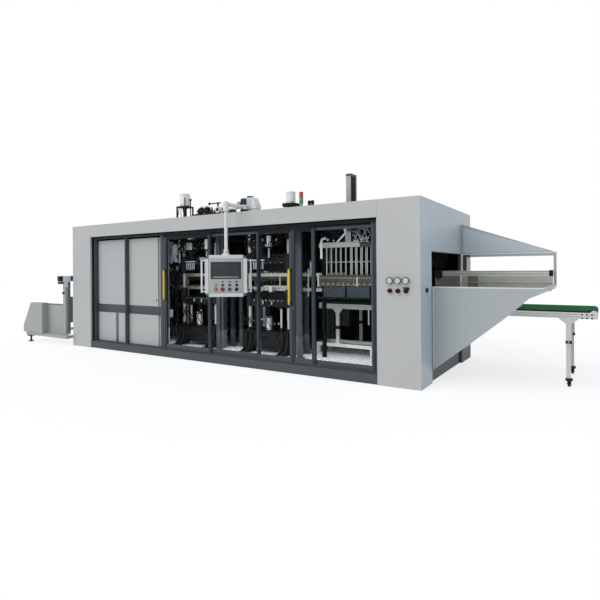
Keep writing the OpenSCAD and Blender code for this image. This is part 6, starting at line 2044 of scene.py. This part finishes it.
@dataclass
class FeedUnit:
    """Sheet feed unit at the left: housing screws, hinges, side skins, bearing caps and a hand knob."""

    x1: float = -9.02
    front: float = -0.20
    middle: float = 1.3975
    post_x: float = -8.33

    def both(self, y: float) -> tuple[float, float]:
        """Returns a Y and its mirror about the sheet's middle."""
        return (y, 2 * self.middle - y)

    def pair(self, shape: Shape, low: Point, high: Point) -> None:
        """Adds a block at the near side and its mirror at the far side.

        Args:
            shape: The shape to add to.
            low: Lowest corner of the near block.
            high: Highest corner of the near block.
        """
        shape.block(low, high, 0.0015)
        y0, y1 = (2 * self.middle - y for y in (high[1], low[1]))
        shape.block((low[0], y0, low[2]), (high[0], y1, high[2]), 0.0015)

    def build(self) -> None:
        """Builds and dresses the feed unit."""
        dress(FEED_COAT, "feed_housing", "feed_frame")
        dress(CHROME, "guide_roller")
        screws, dark, caps, skins = shapes(4)
        for y, out in zip(self.both(self.front), (-1, 1)):
            side = BACK * out
            y -= 0.0062 * (out > 0)
            for x, z in ((-9.80, 0.26), (-9.05, 0.26), (-9.05, 0.92), (-9.49, 0.92), (-9.79, 0.395),
                         (-9.42, 0.26), (-9.05, 0.58)):
                screws.screw((x, y, z), side, 0.007)
            caps.turned((self.post_x, y - out * 0.01, 1.50), side,
                        [(0.040, 0.0), (0.040, 0.006), (0.028, 0.0095)], 32)
            for dx, dz in circle(4, 0.046, 45):
                screws.screw((self.post_x + dx * 0.85, y - out * 0.010, 1.50 + dz * 0.85), side, 0.004)
            for z in (0.70, 0.80, 0.90):
                screws.screw((self.post_x - 0.02, y - out * 0.129, z), side, 0.007)
            dark.rod((self.post_x, y - out * 0.12, 1.19), (self.post_x, y - out * 0.085, 1.19), 0.022, 24)
            near, far = sorted((y - out * 0.006, y - out * 0.13))
            dark.block((self.post_x - 0.052, near, 1.398), (self.post_x + 0.052, far, 1.442), 0.003)
        shaded, pale = shapes(2)
        x = self.post_x
        for shape, low, high in (
                (skins, (self.x1 + 0.008, -0.0642, 0.30), (x - 0.06, -0.0598, 0.90)),
                (shaded, (self.x1 + 0.004, -0.066, 0.905), (x - 0.052, -0.055, 0.934)),
                (shaded, (x + 0.0495, -0.018, 0.30), (x + 0.052, 0.049, 1.40)),
                (shaded, (x + 0.0395, 0.0502, 0.505), (x + 0.0515, 0.106, 1.098)),
                (dark, (x - 0.055, -0.2015, 1.462), (x + 0.056, -0.135, 1.580)),
                (pale, (x - 0.055, -0.135, 1.556), (x + 0.056, 0.059, 1.580)),
                (pale, (x + 0.050, -0.135, 1.440), (x + 0.056, 0.059, 1.556)),
                (dark, (x - 0.055, 0.059, 1.556), (x + 0.056, 0.140, 1.580)),
                (dark, (x + 0.050, 0.059, 1.460), (x + 0.056, 0.140, 1.556)),
                (pale, (x + 0.049, -0.113, 1.320), (x + 0.054, -0.004, 1.440)),
                (dark, (x + 0.049, -0.004, 1.340), (x + 0.054, 0.030, 1.440)),
                (dark, (-9.71, -0.175, 0.128), (-9.57, -0.065, 0.158))):
            self.pair(shape, low, high)
        for y in self.both(-0.120):
            dark.turned((-9.64, y, 0.0005), UP,
                        [(0.062, 0.0), (0.062, 0.012), (0.030, 0.024), (0.021, 0.032), (0.021, 0.14)], 28)
        shaded.made("feed_shaded_faces", POST_SHADE, slot="machine_grey")
        pale.made("feed_bearing_plates", PALE_COAT, slot="motor_grey")
        screws.made("feed_screws", ZINC, slot="motor_grey")
        dark.made("feed_dark_parts", BLACK_PLASTIC)
        caps.made("feed_bearing_caps", BLACK_IRON, slot="black_part")
        skins.made("feed_skins", FEED_COAT, slot="motor_grey")


@dataclass
class Studio:
    """Pale floor, soft light and the camera."""

    camera_at: Point = (2.098, -6.446, 1.682)
    yaw: float = 32.22
    pitch: float = 0.09
    roll: float = -0.42
    lens: float = 28.584
    sensor: float = 36.0
    reach: float = 200.0
    shift_y: float = -0.0515
    ambient: float = 0.66
    key_strength: float = 1.05
    key_spread: float = 50.0
    key_way: Point = (0.35, 0.75, -0.6)
    sky: Colour = (0.96, 1.0, 1.04, 1.0)
    floor_size: float = 60.0
    floor_share: float = 0.40
    floor_glow: float = 0.715
    inner_lamps: tuple[tuple[Point, Point, tuple[float, float], float], ...] = (
        ((-3.3, 0.19, 1.25), (0.0, 1.0, 0.0), (5.1, 2.1), 15.0),
        ((-3.3, 0.62, 0.50), (0.0, 0.0, -1.0), (5.1, 0.90), 27.0))

    def build(self) -> None:
        """Builds the stage."""
        self.camera()
        self.floor()
        self.world()
        self.lights()

    def camera(self) -> None:
        """Places the camera."""
        yaw, pitch, roll = (math.radians(v) for v in (self.yaw, self.pitch, self.roll))
        ahead = Vector((-math.sin(yaw) * math.cos(pitch), math.cos(yaw) * math.cos(pitch), math.sin(pitch)))
        level = Vector((math.cos(yaw), math.sin(yaw), 0.0))
        above = level.cross(ahead)
        right = level * math.cos(roll) + above * math.sin(roll)
        up = above * math.cos(roll) - level * math.sin(roll)
        data = bpy.data.cameras.new("camera")
        data.lens, data.sensor_width, data.shift_y = self.lens, self.sensor, self.shift_y
        data.clip_end = self.reach
        turn = Matrix((right, up, -ahead)).transposed().to_4x4()
        spot = Matrix.Translation(Vector(self.camera_at) + CORNER)
        bpy.context.scene.camera = placed("camera", data, spot @ turn)

    def seen(self, mix: Recipe) -> bpy.types.NodeSocket:
        """Tells rays that see the background, straight or in gloss or glass.

        Args:
            mix: The recipe to wire it in.

        Returns:
            A socket that gives 1 for them.
        """
        rays = mix.add("ShaderNodeLightPath").outputs
        either = mix.sum("MAXIMUM", rays["Is Camera Ray"], rays["Is Glossy Ray"])
        return mix.sum("MAXIMUM", either, rays["Is Transmission Ray"])

    def floor(self) -> None:
        """Adds the pale floor, which keeps the line's shadow."""
        mesh = bmesh.new()
        bmesh.ops.create_grid(mesh, x_segments=8, y_segments=8, size=self.floor_size)
        data = bpy.data.meshes.new("floor")
        mesh.to_mesh(data)
        mesh.free()
        mix = Recipe("studio_floor")
        tone = mix.blend(mix.noise(0.4, 2.0), shade(238, 239, 240), shade(242, 243, 244))
        tone = mix.blend(self.seen(mix), tone, scaled(shade(240, 241, 242), self.floor_share))
        pale = mix.add("ShaderNodeBsdfDiffuse", {"Color": tone}).outputs[0]
        glow = mix.add("ShaderNodeEmission",
                       {"Strength": mix.sum("MULTIPLY", self.seen(mix), self.floor_glow)}).outputs[0]
        mix.surface(mix.add("ShaderNodeAddShader", {0: pale, 1: glow}).outputs[0])
        data.materials.append(mix.material)
        plane = placed("floor", data, Matrix.Translation((0.0, 0.0, -0.0005)))

    def world(self) -> None:
        """Makes the sky: cool and soft on the line, white where it is seen."""
        world = bpy.data.worlds.new("studio")
        bpy.context.scene.world = world
        mix = Recipe("studio", world)
        soft = mix.add("ShaderNodeBackground", {"Color": self.sky, "Strength": self.ambient})
        white = mix.add("ShaderNodeBackground", {"Color": (1.0, 1.0, 1.0, 1.0)})
        either = mix.add("ShaderNodeMixShader", {0: self.seen(mix), 1: soft.outputs[0], 2: white.outputs[0]})
        mix.add("ShaderNodeOutputWorld", {"Surface": either.outputs[0]})

    def lights(self) -> None:
        """Adds one broad, distant soft lamp from the left front, above, and the soft lamps in the cabinet."""
        lamp = bpy.data.lights.new("key", "SUN")
        lamp.energy, lamp.angle = self.key_strength, math.radians(self.key_spread)
        placed("key", lamp, Vector(self.key_way).to_track_quat("-Z", "Y").to_matrix().to_4x4())
        for spot, way, (wide, tall), watts in self.inner_lamps:
            lamp = bpy.data.lights.new("inner", "AREA")
            lamp.shape, lamp.size, lamp.size_y, lamp.energy = "RECTANGLE", wide, tall, watts
            turn = Vector(way).to_track_quat("-Z", "Y").to_matrix().to_4x4()
            rig = placed("inner", lamp, Matrix.Translation(CORNER + Vector(spot)) @ turn)
            rig.visible_camera = rig.visible_glossy = False


def main() -> None:
    """Builds every part of the line in order, then the stage."""
    logging.basicConfig(level=logging.INFO, format="%(name)s %(message)s")
    dress(COLUMN_STEEL, "press_columns")
    dress(BLACK_IRON, "press_bases", "press_crowns")
    dress(ENAMEL, "press_cylinders")
    parts = (Cabinet(), Doors(), ElectricalCabinet(), Station("forming", -4.8728, 5),
             Station("cutting", -3.1184, 9),
             ChainRails(), Stacker(), ControlPanel(), RoofUnits(), Gauges(), Hood(), Conveyor(), FeedUnit(),
             Studio())
    for part in parts:
        part.build()
        LOG.info("%s is built", type(part).__name__)
    bpy.context.scene.view_settings.view_transform = "Standard"


if __name__ == "__main__":
    main()
